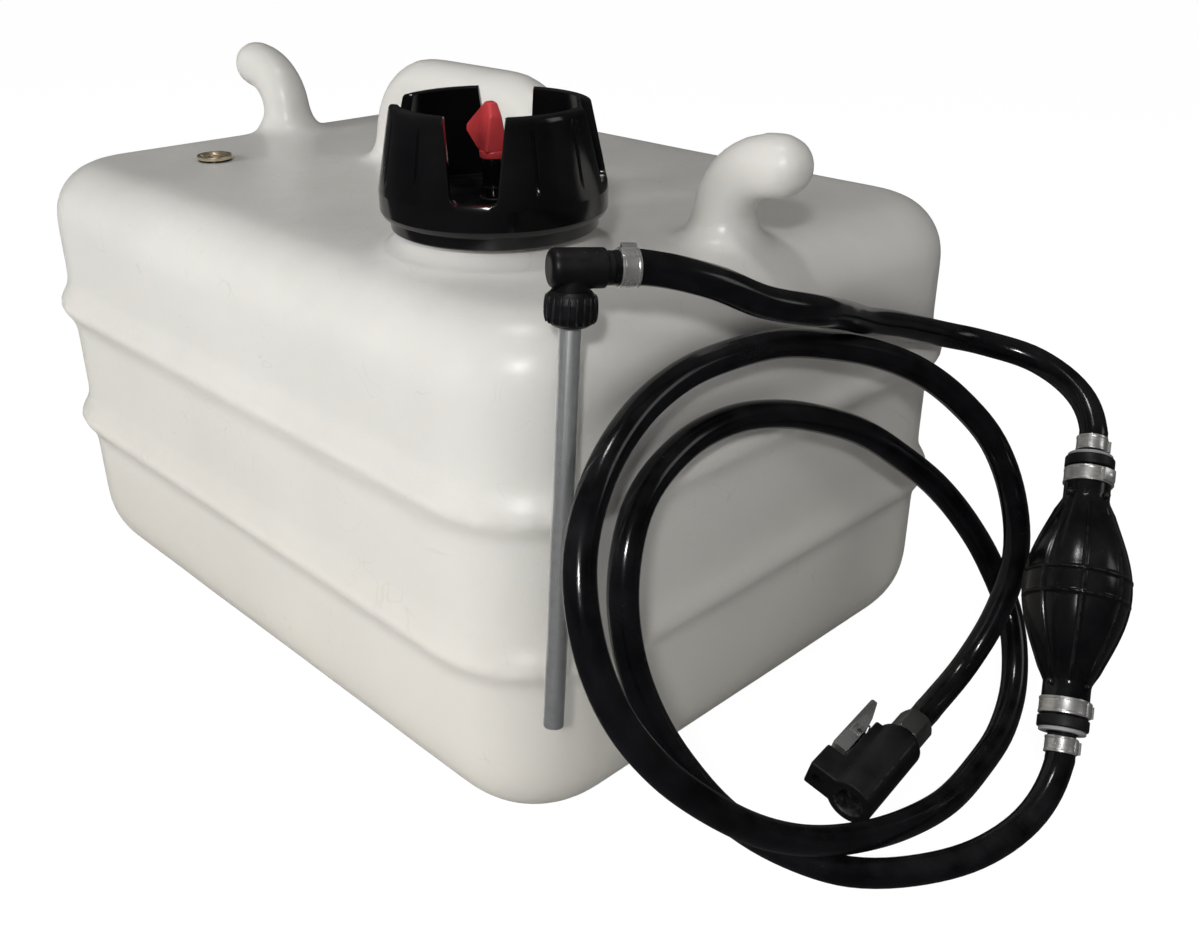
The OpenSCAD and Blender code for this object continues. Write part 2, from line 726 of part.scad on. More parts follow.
spigot_z = rubber_half - 15;     // inner end of a valve's spigot in the bulb's neck
chamber_z = spigot_z + 2;
chamber_h = disc_t + valve_travel + face_gap * 2;

// A valve body: barb, flange and a spigot with the disc's chamber; seat_up puts the seat at the hose end
module valve_body(seat_up) {
    chamber_r = disc_r + 1;
    color(black_c)
        difference() {
            union() {
                translate([0, 0, spigot_z]) cylinder(r = bulb_neck_r - rubber_t, h = rubber_half - spigot_z);
                translate([0, 0, rubber_half]) cylinder(r = valve_flange_r, h = bulb_half - rubber_half - 2);
                translate([0, 0, rubber_half]) cylinder(r = hose_r + 0.5, h = bulb_half - rubber_half);
                translate([0, 0, bulb_half - 1]) cylinder(r = hose_bore_r, h = barb_l + 1);
            }
            translate([0, 0, chamber_z]) cylinder(r = chamber_r, h = chamber_h);
            translate([0, 0, spigot_z - 1]) cylinder(r = seat_up ? disc_r - 1 : barb_bore_r, h = 4);
            translate([0, 0, chamber_z]) cylinder(r = barb_bore_r, h = bulb_half + barb_l);
        }
}

module valve_ring() {
    color(grey_c) tube(valve_flange_r - 1, hose_r + 0.5, bulb_half - 2, bulb_half - 0.4);
}

// The disc lies on its seat: at the hose end of its chamber if seat_up, else at the bulb end
module valve_disc(seat_up) {
    color(grey_c)
        translate([0, 0, seat_up ? chamber_z + chamber_h - face_gap - disc_t : chamber_z + face_gap])
            cylinder(r = disc_r, h = disc_t);
}

module bulb_clamp(ear_turn) {
    translate([0, 0, rubber_half - clamp_w - 1]) band_clamp(bulb_neck_r, ear_turn);
}

module end_clamp(ear_turn) {
    translate([0, 0, bulb_half + 1.5]) band_clamp(hose_r, ear_turn);
}

module at_inlet() {
    in_bulb() children();
}

module at_outlet() {
    in_bulb() rotate([180, 0, 0]) children();
}

module inlet_valve_body() {
    at_inlet() valve_body(true);
}

module inlet_valve_ring() {
    at_inlet() valve_ring();
}

module inlet_valve_disc() {
    at_inlet() valve_disc(true);
}

module inlet_bulb_clamp() {
    at_inlet() bulb_clamp(-10);
}

module inlet_hose_clamp() {
    at_inlet() end_clamp(20);
}

module outlet_valve_body() {
    at_outlet() valve_body(false);
}

module outlet_valve_ring() {
    at_outlet() valve_ring();
}

module outlet_valve_disc() {
    at_outlet() valve_disc(false);
}

module outlet_bulb_clamp() {
    at_outlet() bulb_clamp(0);
}

module outlet_hose_clamp() {
    at_outlet() end_clamp(10);
}

// ---------- engine connector ----------

latch_z = housing_l + 4;         // mouth-side end of the latch
pivot_z = latch_z + 14;
pivot_r = bed_r + 3;
latch_top_r = housing_r - 0.5;
ear_w = latch_w - 2 * latch_t - 0.4;
well_r = 3.2;                    // bore behind the mouth, for plunger and spring
well_end = barrel_l - 8;
plunger_z = socket_depth + 0.3;  // nose of the plunger, just behind the mouth
head_l = 6;                      // length of the plunger's head, from its nose to the spring

module connector_body() {
    color(black_c)
        in_connector()
            difference() {
                union() {
                    cylinder(r = barrel_r, h = barrel_l);
                    translate([0, 0, barrel_l - seam]) cylinder(r = barrel_r - 3, h = neck_fit + seam);
                    translate([0, -housing_w / 2, 0]) cube([housing_r, housing_w, housing_l]);
                    translate([0, -housing_w / 2, 0]) cube([bed_r, housing_w, barrel_l - 3]);
                    translate([0, -ear_w / 2, pivot_z - 3]) cube([pivot_r + 1.8, ear_w, 6]);
                }
                translate([0, 0, -1]) cylinder(r = socket_r, h = socket_depth + 1);
                translate([0, 0, 6]) cylinder(r = socket_r + 1.2, h = 2.4);
                cylinder(r = well_r, h = well_end);
                cylinder(r = barb_bore_r, h = barrel_l + neck_fit + 1);
                translate([housing_r - 5, 0, -1]) cylinder(r = locator_r, h = housing_l - 3);
                translate([pivot_r, housing_w, pivot_z]) rotate([90, 0, 0]) cylinder(r = pin_r, h = 2 * housing_w);
            }
}

module connector_seal() {
    color(rubber_c) in_connector() tube(socket_r + 1.2, socket_r, 6, 8.4);
}

module connector_plunger() {
    color(steel_c)
        in_connector()
            translate([0, 0, plunger_z]) {
                cylinder(r = well_r - 0.06, h = head_l);
                cylinder(r = 1.8, h = well_end - plunger_travel - 1 - plunger_z);
            }
}

module plunger_spring() {
    color(steel_c) in_connector() tube(well_r - 0.2, 2, plunger_z + head_l, well_end);
}

module connector_nut() {
    color(grey_c)
        in_connector()
            difference() {
                union() {
                    translate([0, 0, barrel_l + neck_fit]) cylinder(r = hex_r, h = hex_l, $fn = 6);
                    translate([0, 0, connector_face - 1]) cylinder(r = hose_bore_r, h = barb_l + 1);
                }
                translate([0, 0, barrel_l]) cylinder(r = barb_bore_r, h = hex_l + barb_l + 5);
            }
}

// The latch: a channel of sheet with a hook at the mouth side and a raised thumb end
module connector_latch() {
    eye_wall = 0.5;  // metal left under the pin's hole, so that the sides stay clear of the bed
    side_low = pivot_r - pin_r - eye_wall;
    thumb = latch_z + latch_l;
    outline = [[side_low, latch_z], [latch_top_r, latch_z], [latch_top_r, thumb], [latch_top_r - 3, thumb],
        [side_low + 1.1, pivot_z + 11], [side_low, pivot_z + 5]];
    color(steel_c)
        in_connector()
            difference() {
                translate([0, latch_w / 2, 0]) rotate([90, 0, 0]) linear_extrude(latch_w) polygon(outline);
                translate([0, -latch_w / 2 + latch_t, latch_z + latch_t])
                    cube([latch_top_r - latch_t, latch_w - 2 * latch_t, latch_l]);
                translate([pivot_r, latch_w, pivot_z]) rotate([90, 0, 0])
                    cylinder(r = pin_r + pin_gap, h = 2 * latch_w);
            }
}

module latch_pin() {
    color(steel_c)
        in_connector()
            translate([pivot_r, latch_w / 2 + 0.6, pivot_z]) rotate([90, 0, 0]) cylinder(r = pin_r, h = latch_w + 1.2);
}

module latch_spring() {
    z = pivot_z + 8;
    color(steel_c)
        in_connector()
            translate([bed_r, 0, z]) rotate([0, 90, 0])
                tube(2.4, 1.6, 0, latch_top_r - latch_t - bed_r - face_gap);
}

tank_shell();
brass_insert();
insert_seal();
filler_cap();
cap_gasket();
vent_screw();
vent_knob();
vent_seal();
pickup_elbow();
pickup_nut();
pickup_seal();
dip_tube();
elbow_clamp();
tank_hose();
inlet_hose_clamp();
inlet_valve_body();
inlet_valve_ring();
inlet_valve_disc();
inlet_bulb_clamp();
primer_bulb();
outlet_bulb_clamp();
outlet_valve_body();
outlet_valve_ring();
outlet_valve_disc();
outlet_hose_clamp();
engine_hose();
connector_nut();
connector_body();
connector_seal();
connector_plunger();
plunger_spring();
connector_latch();
latch_pin();
latch_spring();
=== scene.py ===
import json
import math

import bmesh
import bpy
from bpy.props import FloatProperty, FloatVectorProperty, IntProperty, PointerProperty
from mathutils import Matrix, Vector, noise

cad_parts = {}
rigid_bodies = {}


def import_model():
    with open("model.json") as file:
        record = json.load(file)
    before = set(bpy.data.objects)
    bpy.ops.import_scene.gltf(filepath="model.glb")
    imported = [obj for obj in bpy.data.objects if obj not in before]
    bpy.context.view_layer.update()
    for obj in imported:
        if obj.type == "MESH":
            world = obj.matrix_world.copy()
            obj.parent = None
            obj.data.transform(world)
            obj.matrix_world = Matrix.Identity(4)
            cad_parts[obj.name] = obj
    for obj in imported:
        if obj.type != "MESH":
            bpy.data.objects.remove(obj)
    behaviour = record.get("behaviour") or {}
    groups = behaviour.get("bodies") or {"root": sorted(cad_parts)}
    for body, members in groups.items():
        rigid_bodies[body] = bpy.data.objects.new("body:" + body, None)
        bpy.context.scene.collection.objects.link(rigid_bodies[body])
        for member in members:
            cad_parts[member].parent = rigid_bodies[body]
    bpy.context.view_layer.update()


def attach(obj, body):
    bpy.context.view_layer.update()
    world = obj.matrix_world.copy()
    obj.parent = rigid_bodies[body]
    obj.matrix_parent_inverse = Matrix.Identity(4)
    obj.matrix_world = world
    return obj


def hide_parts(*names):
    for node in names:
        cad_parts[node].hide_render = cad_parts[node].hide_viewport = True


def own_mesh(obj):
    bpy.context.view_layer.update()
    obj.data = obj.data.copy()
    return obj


bl_info = {
    "name": "Outboard Fuel Tank",
    "version": (1, 0, 0),
    "blender": (4, 5, 0),
    "location": "View3D > Sidebar > Fuel Tank",
    "description": "Builds a portable outboard fuel tank with its fuel line kit",
    "category": "Object",
}

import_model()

MM = 0.001


def shift(x=0, y=0, z=0):
    return Matrix.Translation((x, y, z))


def spin(degrees, axis="Z"):
    return Matrix.Rotation(math.radians(degrees), 4, axis)


def stand(at, tilt=0.0, turn=0.0, roll=0.0):
    """Matrix from a piece's own millimetres to metres in the frame."""
    return Matrix.Translation(Vector(at) * MM) @ spin(turn) @ spin(tilt, "Y") @ spin(roll) @ Matrix.Scale(MM, 4)


# ---------------------------------------------------------------- sizes of the CAD source, in millimetres

TANK_L, TANK_W, TANK_H = 410, 306, 235
WALL = 4
CORNER_R, BASE_R, TOP_R = 48, 42, 29
BEADS, BEAD_H, BEAD_D = (93, 160), 26, 6.9
BAR_R, GRIP_RISE, GRIP_HALF, GRIP_BEND = 14.5, 55, 61, 32
HOOK_R, HOOK_ROOTS, HOOK_BEND = 13.5, ((-1, 177), (1, 166)), (29.5, 23.5)
NECK_R, NECK_TOP, MOUTH_R = 33, TANK_H + 15, 27
CAP_BASE, CAP_WEB, CAP_RIM = 244.5, 255.0, 294.0
CAP_R, CAP_TOP_R, CAP_TURN = 47, 40.5, -50
NOTCH_D, NOTCH_HALF, NOTCH_SPREAD = 31.5, 9, 3
GROOVES, GROOVE_D = (31.5, 58.5), 1.1
VENT_BORE_R, VENT_FOOT, KNOB_TURN = 4.06, 256.2 + 15.5, 160
INSERT_R, INSERT_FLANGE_R = 8, 9.2
ELBOW_Z, ELBOW_TURN = 20, -52
TUBE_R, TUBE_BORE_R, BARB_BORE_R = 4, 3.2, 3.2
HOSE_R, CLAMP_W = 6.2, 7
BULB_HALF, RUBBER_HALF, BULB_NECK_R, BULB_RISE = 65, 58, 10.2, 12.3
FLANGE_R, COLLAR_R = 11, 10
BARREL_R, BARREL_L, SOCKET_R, WELL_R, WELL_END = 11, 46, 6.5, 3.2, 38
HOUSING_R, HOUSING_W, BED_R = 22, 7, 13
PIVOT = (16, 0, 33)
PIN_R = 1.3
HEX_R, HEX_LOW, HEX_HIGH = 8.4, 49, 63

# Where each group of pieces stands
FILLER_AT = (108, -78, 0)
INSERT_AT = (-126, -78, 0)
ON_TANK = stand((0, 0, 0))
ON_FILLER = stand(FILLER_AT)
ON_INSERT = stand(INSERT_AT)
ON_PICKUP = stand((205.1, -127.3, 235.8), 7.4, 114)
ON_ELBOW = ON_PICKUP @ shift(z=ELBOW_Z) @ spin(ELBOW_TURN) @ spin(90, "Y")
ON_BULB = stand((311, 86, 84), 43, 118)
ON_OUTLET = ON_BULB @ spin(180, "X")
ON_CONNECTOR = stand((276.5, -31, 11.2), 84, 95, 107)

TANK_HOSE_ROUTE = [
    (227, -79, 246), (234, -57, 235), (239, -32, 227), (233, -9, 219), (225, 13, 210.5), (218.5, 37, 201),
    (216, 62, 193), (214, 87, 184), (214, 112, 175), (226, 133, 168), (249, 144, 162), (273, 142, 152),
]
ENGINE_HOSE_ROUTE = [
    (338, 17, 15), (332, -10, 8), (319, -37, 6.5), (299, -61, 7.5), (280, -78, 16), (263, -97, 36),
    (251, -110, 59), (241, -120, 85), (232, -124, 113), (225, -120, 141), (218, -104, 164), (214, -77, 176),
    (213, -48, 178), (215, -19, 173), (219, 9, 163), (224, 35, 150), (230, 58, 133), (238, 79, 114),
    (247, 96, 92), (258, 107, 68), (274, 106, 43), (289, 88, 23), (298, 63, 12), (302, 34, 7.5),
    (304, 5, 7.5), (302, -24, 12), (298, -52, 20), (292, -79, 31), (285, -103, 46), (276, -124, 65),
    (265, -141, 86), (254, -153, 111), (243, -156, 138), (231, -148, 163), (222, -130, 184), (215, -104, 198),
    (212, -76, 205), (212, -47, 206), (213, -17, 203), (217, 11, 196), (224, 38, 187), (233, 63, 174),
    (243, 84, 156), (254, 100, 134), (265, 106, 107), (273, 102, 80), (274, 90, 54), (271, 72, 31),
]


# ---------------------------------------------------------------- settings


def length_setting(name, description, default):
    return FloatProperty(name=name, description=description, default=default, unit="LENGTH")


def colour_setting(name, description, default):
    return FloatVectorProperty(name=name, description=description, subtype="COLOR", size=3, default=default)


class TankSizes(bpy.types.PropertyGroup):
    voxel: length_setting("Wall detail", "Size of the cells that the moulded tank is rebuilt from", 0.003)
    waviness: length_setting("Waviness", "Depth of the slow waves in the blown walls", 0.00035)
    blend: IntProperty(name="Blend", description="Rounds of smoothing where moulded shapes meet", default=14, min=0)


class KitSizes(bpy.types.PropertyGroup):
    hose_d: length_setting("Hose diameter", "Outside diameter of the hose", 0.0124)
    band_t: length_setting("Band thickness", "Thickness of a clamp's band", 0.0008)
    nut_teeth: IntProperty(name="Nut teeth", description="Teeth round the pickup nut", default=20, min=3)
    bulb_ribs: IntProperty(name="Bulb ribs", description="Long ridges on the primer bulb", default=8, min=3)
    latch_coils: FloatProperty(name="Latch coils", description="Turns of the latch's spring", default=3.0)
    plunger_coils: FloatProperty(name="Plunger coils", description="Turns of the plunger's spring", default=7.0)


class FinishSettings(bpy.types.PropertyGroup):
    tank: colour_setting("Tank", "Natural polyethylene", (0.66, 0.645, 0.61))
    cap: colour_setting("Cap", "Glossy black plastic", (0.0035, 0.0035, 0.004))
    knob: colour_setting("Knob", "Red plastic", (0.5, 0.045, 0.05))
    fitting: colour_setting("Fittings", "Satin black plastic", (0.0035, 0.0035, 0.0045))
    rubber: colour_setting("Rubber", "Black rubber", (0.003, 0.003, 0.0038))
    steel: colour_setting("Steel", "Stainless band steel", (0.82, 0.81, 0.78))
    brass: colour_setting("Brass", "Turned brass", (0.74, 0.63, 0.45))


# ---------------------------------------------------------------- mesh making


def new_object(name, mesh):
    obj = bpy.data.objects.new(name, mesh)
    bpy.context.scene.collection.objects.link(obj)
    return obj


def finished(name, bm, outward=True):
    """An object from a bmesh."""
    if outward:
        bmesh.ops.recalc_face_normals(bm, faces=bm.faces)
    mesh = bpy.data.meshes.new(name)
    bm.to_mesh(mesh)
    bm.free()
    return new_object(name, mesh)


def baked(obj):
    """Turns the object's modifiers into its mesh."""
    depsgraph = bpy.context.evaluated_depsgraph_get()
    mesh = bpy.data.meshes.new_from_object(obj.evaluated_get(depsgraph), depsgraph=depsgraph)
    old = obj.data
    obj.modifiers.clear()
    obj.data = mesh
    mesh.name = obj.name
    bpy.data.meshes.remove(old)
    return obj


def arc(degrees, steps, start=0):
    """Angles in radians from 0, in equal steps."""
    return [math.radians(degrees) * k / steps for k in range(start, steps + 1)]


def on_circle(r, k, count):
    angle = 2 * math.pi * k / count
    return r * math.cos(angle), r * math.sin(angle)


def rounded(points, radius, steps=3, closed=False):
    """A line of points with each corner rounded; radius is one number or one for each point."""
    pts = [Vector(p) for p in points]
    count = len(pts)
    radii = radius if hasattr(radius, "__len__") else [radius] * count
    out = []
    for i, p in enumerate(pts):
        a, b = pts[i - 1] - p, pts[(i + 1) % count] - p
        la, lb = a.length, b.length
        end_point = not closed and i in (0, count - 1)
        if end_point or radii[i] <= 0 or a.angle(b, math.pi) > math.pi - 0.02:
            out.append(p)
            continue
        a.normalize()
        b.normalize()
        back = min(radii[i] / math.tan(a.angle(b, math.pi) / 2), 0.45 * la, 0.45 * lb)
        start, end = p + a * back, p + b * back
        for k in range(steps + 1):
            t = k / steps
            out.append((1 - t) ** 2 * start + 2 * t * (1 - t) * p + t**2 * end)
    return out


def lathe(name, profile, sides=64, closed=False):
    """A turned piece from (radius, height) pairs in millimetres; closed joins the last pair to the first."""
    bm = bmesh.new()
    uv = bm.loops.layers.uv.new("Surface")
    rows, along = [], [0.0]
    for i, p in enumerate(profile):
        if i:
            along.append(along[-1] + math.hypot(p[0] - profile[i - 1][0], p[1] - profile[i - 1][1]))
        ring = [(0, 0)] if p[0] < 1e-6 else [on_circle(p[0], k, sides) for k in range(sides)]
        rows.append([bm.verts.new((x, y, p[1])) for x, y in ring])
    around = max(p[0] for p in profile) * 2 * math.pi
    count = len(rows)
    for i in range(count if closed else count - 1):
        lower, upper = rows[i], rows[(i + 1) % count]
        v0 = along[i]
        v1 = along[i + 1] if i + 1 < count else v0 + 1
        for k in range(sides):
            n = (k + 1) % sides
            corners = [(lower[k % len(lower)], k, v0)]
            if len(lower) > 1:
                corners.append((lower[n], k + 1, v0))
            if len(upper) > 1:
                corners.append((upper[n], k + 1, v1))
            corners.append((upper[k % len(upper)], k, v1))
            if len(corners) < 3:
                continue
            face = bm.faces.new([c[0] for c in corners])
            for loop, c in zip(face.loops, corners):
                loop[uv].uv = (c[1] / sides * around * MM, c[2] * MM)
    if not closed:
        for row in (rows[0], rows[-1]):
            if len(row) > 1:
                bm.faces.new(row)
    return finished(name, bm)


def turned(name, profile, radius=0, sides=64, steps=3):
    """A turned piece whose profile is closed and has its corners rounded."""
    return lathe(name, rounded(profile, radius, steps, closed=True), sides, closed=True)


def rod(name, r, low, high, sides=32):
    return lathe(name, [(0, low), (r, low), (r, high), (0, high)], sides)


def tube_profile(outer, inner, low, high):
    return [(inner, low), (outer, low), (outer, high), (inner, high)]


def skin(name, rings):
    """A closed mesh through rings of equal counts, with its length and girth as its UV map."""
    bm = bmesh.new()
    uv = bm.loops.layers.uv.new("Surface")
    rows = [[bm.verts.new(p) for p in ring] for ring in rings]
    along = [0.0]
    for a, b in zip(rings, rings[1:]):
        along.append(along[-1] + (Vector(b[0]) - Vector(a[0])).length)
    count = len(rings[0])
    girth = sum((Vector(rings[0][k]) - Vector(rings[0][k - 1])).length for k in range(count))
    for i in range(len(rows) - 1):
        for k in range(count):
            n = (k + 1) % count
            face = bm.faces.new((rows[i][k], rows[i][n], rows[i + 1][n], rows[i + 1][k]))
            for loop, (u, v) in zip(face.loops, ((k, i), (k + 1, i), (k + 1, i + 1), (k, i + 1))):
                loop[uv].uv = (along[v] * MM, u / count * girth * MM)
    bm.faces.new(rows[0])
    bm.faces.new(rows[-1])
    return finished(name, bm)


def prism(name, outline, low, high, matrix=None):
    """A plate with an outline in its X and Y, from low to high."""
    bm = bmesh.new()
    rows = [[bm.verts.new((p[0], p[1], z)) for p in outline] for z in (low, high)]
    bm.faces.new(rows[0])
    bm.faces.new(rows[1])
    for k in range(len(outline)):
        n = (k + 1) % len(outline)
        bm.faces.new((rows[0][k], rows[0][n], rows[1][n], rows[1][k]))
    obj = finished(name, bm)
    if matrix is not None:
        obj.data.transform(matrix)
    return obj


def block(name, low, high):
    outline = [(low[0], low[1]), (high[0], low[1]), (high[0], high[1]), (low[0], high[1])]
    return prism(name, outline, low[2], high[2])


def joined(name, *objects):
    """One object from several."""
    bm = bmesh.new()
    for obj in objects:
        bm.from_mesh(obj.data)
        bpy.data.objects.remove(obj)
    return finished(name, bm, outward=False)


def fused(obj, voxel, rounds):
    """One skin round overlapping solids, with its edges and inner corners softened as in a mould."""
    remesh = obj.modifiers.new("Fuse", "REMESH")
    remesh.mode = "VOXEL"
    remesh.voxel_size = voxel
    soften = obj.modifiers.new("Soften", "SMOOTH")
    soften.factor = 0.5
    soften.iterations = rounds
    return baked(obj)


def bored(obj, *tools, mode="DIFFERENCE"):
    for tool in tools:
        cut = obj.modifiers.new("Bore", "BOOLEAN")
        cut.operation = mode
        cut.solver = "MANIFOLD"
        cut.object = tool
    baked(obj)
    for tool in tools:
        bpy.data.objects.remove(tool)
    return obj


def eased(obj, width, segments=3, angle=35):
    """Rounds the object's sharp edges."""
    bevel = obj.modifiers.new("Ease", "BEVEL")
    bevel.width = width
    bevel.segments = segments
    bevel.limit_method = "ANGLE"
    bevel.angle_limit = math.radians(angle)
    bevel.use_clamp_overlap = True
    return baked(obj)


def moved(obj, matrix):
    obj.data.transform(matrix)
    return obj


def placed(obj, matrix, slot, body, node=None, crease=40):
    """Puts a finished piece in the frame: smooth shading, finish, body and the CAD node that it stands for."""
    obj.data.transform(matrix)
    bm = bmesh.new()
    bm.from_mesh(obj.data)
    for face in bm.faces:
        face.smooth = True
    for edge in bm.edges:
        edge.smooth = not (len(edge.link_faces) == 2 and edge.calc_face_angle(0) > math.radians(crease))
    bm.to_mesh(obj.data)
    bm.free()
    obj.data.materials.clear()
    obj.data.materials.append(FINISH[slot])
    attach(obj, body)
    if node:
        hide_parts(node)
    return obj


def smooth_line(points, steps=6):
    """Points of a smooth line through the given ones."""
    pts = [Vector(p) for p in points]
    pts = [2 * pts[0] - pts[1]] + pts + [2 * pts[-1] - pts[-2]]
    out = []
    for i in range(1, len(pts) - 2):
        p0, p1, p2, p3 = pts[i - 1 : i + 3]
        step = p2 - p1
        d1 = max((p1 - p0).length, 1e-6) ** 0.5
        d2 = step.length ** 0.5
        d3 = max((p3 - p2).length, 1e-6) ** 0.5
        m1 = step + d2 * ((p1 - p0) / d1 - (p2 - p0) / (d1 + d2)) if i > 1 else step
        m2 = step + d2 * ((p3 - p2) / d3 - (p3 - p1) / (d2 + d3)) if i < len(pts) - 3 else step
        m1 = m1.normalized() * step.length
        m2 = m2.normalized() * step.length
        for k in range(steps):
            t = k / steps
            h = (2 * t**3 - 3 * t**2 + 1, t**3 - 2 * t**2 + t, -2 * t**3 + 3 * t**2, t**3 - t**2)
            out.append(h[0] * p1 + h[1] * m1 + h[2] * p2 + h[3] * m2)
    out.append(pts[-2])
    return out


def swept(name, line, radii, sides=32):
    """A round bar along a line of points."""
    pts = [Vector(p) for p in line]
    last = len(pts) - 1
    tangents = [(pts[min(i + 1, last)] - pts[max(i - 1, 0)]).normalized() for i in range(len(pts))]
    side = tangents[0].cross(Vector((0.3, 0.2, 1))).normalized()
    rings = []
    for p, t, r in zip(pts, tangents, radii):
        side = (side - side.dot(t) * t).normalized()
        up = t.cross(side)
        turns = [on_circle(1, k, sides) for k in range(sides)]
        rings.append([p + r * (x * side + y * up) for x, y in turns])
    return skin(name, rings)


# ---------------------------------------------------------------- node trees


class Wiring:
    """A short way to write nodes."""

    def __init__(self, tree):
        self.tree = tree
        self.nodes = tree.nodes

    def feed(self, node, *links, **named):
        """Fills the node's inputs, in order or by name, with sockets or values; None leaves one alone."""
        pairs = list(zip(node.inputs, links)) + [(node.inputs[k.replace("_", " ")], v) for k, v in named.items()]
        for socket, link in pairs:
            if isinstance(link, bpy.types.NodeSocket):
                self.tree.links.new(link, socket)
            elif link is not None:
                socket.default_value = link
        return node

    def node(self, kind, *links, **settings):
        """A node of this kind with its inputs in order and its settings."""
        node = self.nodes.new(kind)
        for key, value in settings.items():
            setattr(node, key, value)
        return self.feed(node, *links)

    def math(self, operation, *links):
        return self.node("ShaderNodeMath", *links, operation=operation).outputs[0]

    def spread(self, value, low=0.0, high=1.0, start=0.0, end=1.0):
        """value's range from start to end becomes low to high."""
        return self.node("ShaderNodeMapRange", value, start, end, low, high).outputs[0]

    def noise(self, place, scale, detail=2.0, distortion=0.0):
        node = self.node("ShaderNodeTexNoise")
        self.feed(node, Vector=place, Scale=scale, Detail=detail, Distortion=distortion)
        return node.outputs["Fac"]


class Group(Wiring):
    """A node group with named inputs and outputs."""

    def __init__(self, name, kind):
        super().__init__(bpy.data.node_groups.new(name, kind))
        self.source = self.nodes.new("NodeGroupInput")
        self.sink = self.nodes.new("NodeGroupOutput")
        self.ids = {}

    def input(self, name, kind, value=None):
        socket = self.tree.interface.new_socket(name, in_out="INPUT", socket_type="NodeSocket" + kind)
        if value is not None:
            socket.default_value = value
        self.ids[name] = socket.identifier
        return self.source.outputs[name]

    def output(self, name, kind, link):
        self.tree.interface.new_socket(name, in_out="OUTPUT", socket_type="NodeSocket" + kind)
        self.tree.links.new(link, self.sink.inputs[name])

    def geometry(self, link, finish):
        """Ends a geometry tree: real geometry with its material."""
        real = self.node("GeometryNodeRealizeInstances", link)
        done = self.feed(self.node("GeometryNodeSetMaterial", real.outputs[0]), Material=finish)
        self.output("Geometry", "Geometry", done.outputs[0])


def with_tree(name, tree, slot, **values):
    """An object whose mesh a geometry tree makes, baked to a plain mesh."""
    obj = new_object(name, bpy.data.meshes.new(name))
    modifier = obj.modifiers.new("Make", "NODES")
    modifier.node_group = tree.tree
    modifier[tree.ids["Material"]] = FINISH[slot]
    for key, value in values.items():
        modifier[tree.ids[key.replace("_", " ")]] = value
    return baked(obj)


def coil_tree():
    """A coil spring or a thread: a spiral with a round or three-sided section."""
    t = Group("Coil", "GeometryNodeTree")
    radius = t.input("Radius", "Float", 0.003)
    height = t.input("Height", "Float", 0.01)
    turns = t.input("Turns", "Float", 5.0)
    wire = t.input("Wire radius", "Float", 0.0004)
    sides = t.input("Wire sides", "Int", 10)
    finish = t.input("Material", "Material")
    spiral = t.node("GeometryNodeCurveSpiral", 40, turns, radius, radius, height)
    section = t.feed(t.node("GeometryNodeCurvePrimitiveCircle"), Resolution=sides, Radius=wire)
    tube = t.node("GeometryNodeCurveToMesh")
    t.feed(tube, Curve=spiral.outputs[0], Profile_Curve=section.outputs[0], Fill_Caps=True)
    t.geometry(tube.outputs[0], finish)
    return t


def ring_tree():
    """Equal balls set round a ring, such as a nut's teeth and the nubs on rubber."""
    t = Group("Set Round", "GeometryNodeTree")
    count = t.input("Count", "Int", 12)
    radius = t.input("Radius", "Float", 0.01)
    size = t.input("Size", "Vector", (0.001, 0.001, 0.001))
    finish = t.input("Material", "Material")
    ring = t.node("GeometryNodeMeshCircle", count, radius)
    ball = t.node("GeometryNodeMeshUVSphere", 12, 8, 0.5)
    place = t.node("GeometryNodeInputPosition").outputs[0]
    face_out = t.node("FunctionNodeAlignRotationToVector", None, 1.0, place, axis="X", pivot_axis="Z")
    many = t.node("GeometryNodeInstanceOnPoints")
    t.feed(many, Points=ring.outputs[0], Instance=ball.outputs[0], Rotation=face_out.outputs[0], Scale=size)
    t.geometry(many.outputs[0], finish)
    return t


# ---------------------------------------------------------------- finishes


def grain_group():
    """Fine moulded grain and slow mottling."""
    t = Group("Moulded Grain", "ShaderNodeTree")
    place = t.input("Vector", "Vector")
    scale = t.input("Scale", "Float", 900.0)
    slow = t.input("Slow scale", "Float", 14.0)
    t.output("Height", "Float", t.noise(place, scale, 3.0))
    t.output("Mottle", "Float", t.noise(place, slow, 4.0))
    return t


def lines_group():
    """Lines drawn along one direction, as on rolled, brushed or extruded stock."""
    t = Group("Drawn Lines", "ShaderNodeTree")
    place = t.input("Vector", "Vector")
    stretch = t.input("Stretch", "Vector", (20.0, 3000.0, 3000.0))
    scaled = t.node("ShaderNodeVectorMath", place, stretch, operation="MULTIPLY")
    t.output("Height", "Float", t.noise(scaled.outputs[0], 1.0))
    return t


def wear_group():
    """Where corners are rubbed, broken up by noise."""
    t = Group("Edge Wear", "ShaderNodeTree")
    place = t.input("Vector", "Vector")
    start = t.input("Start", "Float", 0.53)
    scale = t.input("Break up", "Float", 350.0)
    edges = t.spread(t.node("ShaderNodeNewGeometry").outputs["Pointiness"], start=start, end=0.62)
    t.output("Mask", "Float", t.math("MULTIPLY", edges, t.spread(t.noise(place, scale), start=0.42, end=0.6)))
    return t


def dust_group():
    """A thin film of dust on what faces up, thicker in patches."""
    t = Group("Dust Film", "ShaderNodeTree")
    place = t.input("Vector", "Vector")
    amount = t.input("Amount", "Float", 0.2)
    normal = t.node("ShaderNodeSeparateXYZ", t.node("ShaderNodeNewGeometry").outputs["Normal"])
    upward = t.spread(normal.outputs["Z"], start=0.1)
    patches = t.spread(t.noise(place, 60.0, 6.0), start=0.35, end=0.7)
    t.output("Mask", "Float", t.math("MULTIPLY", t.math("MULTIPLY", upward, patches), amount))
    return t


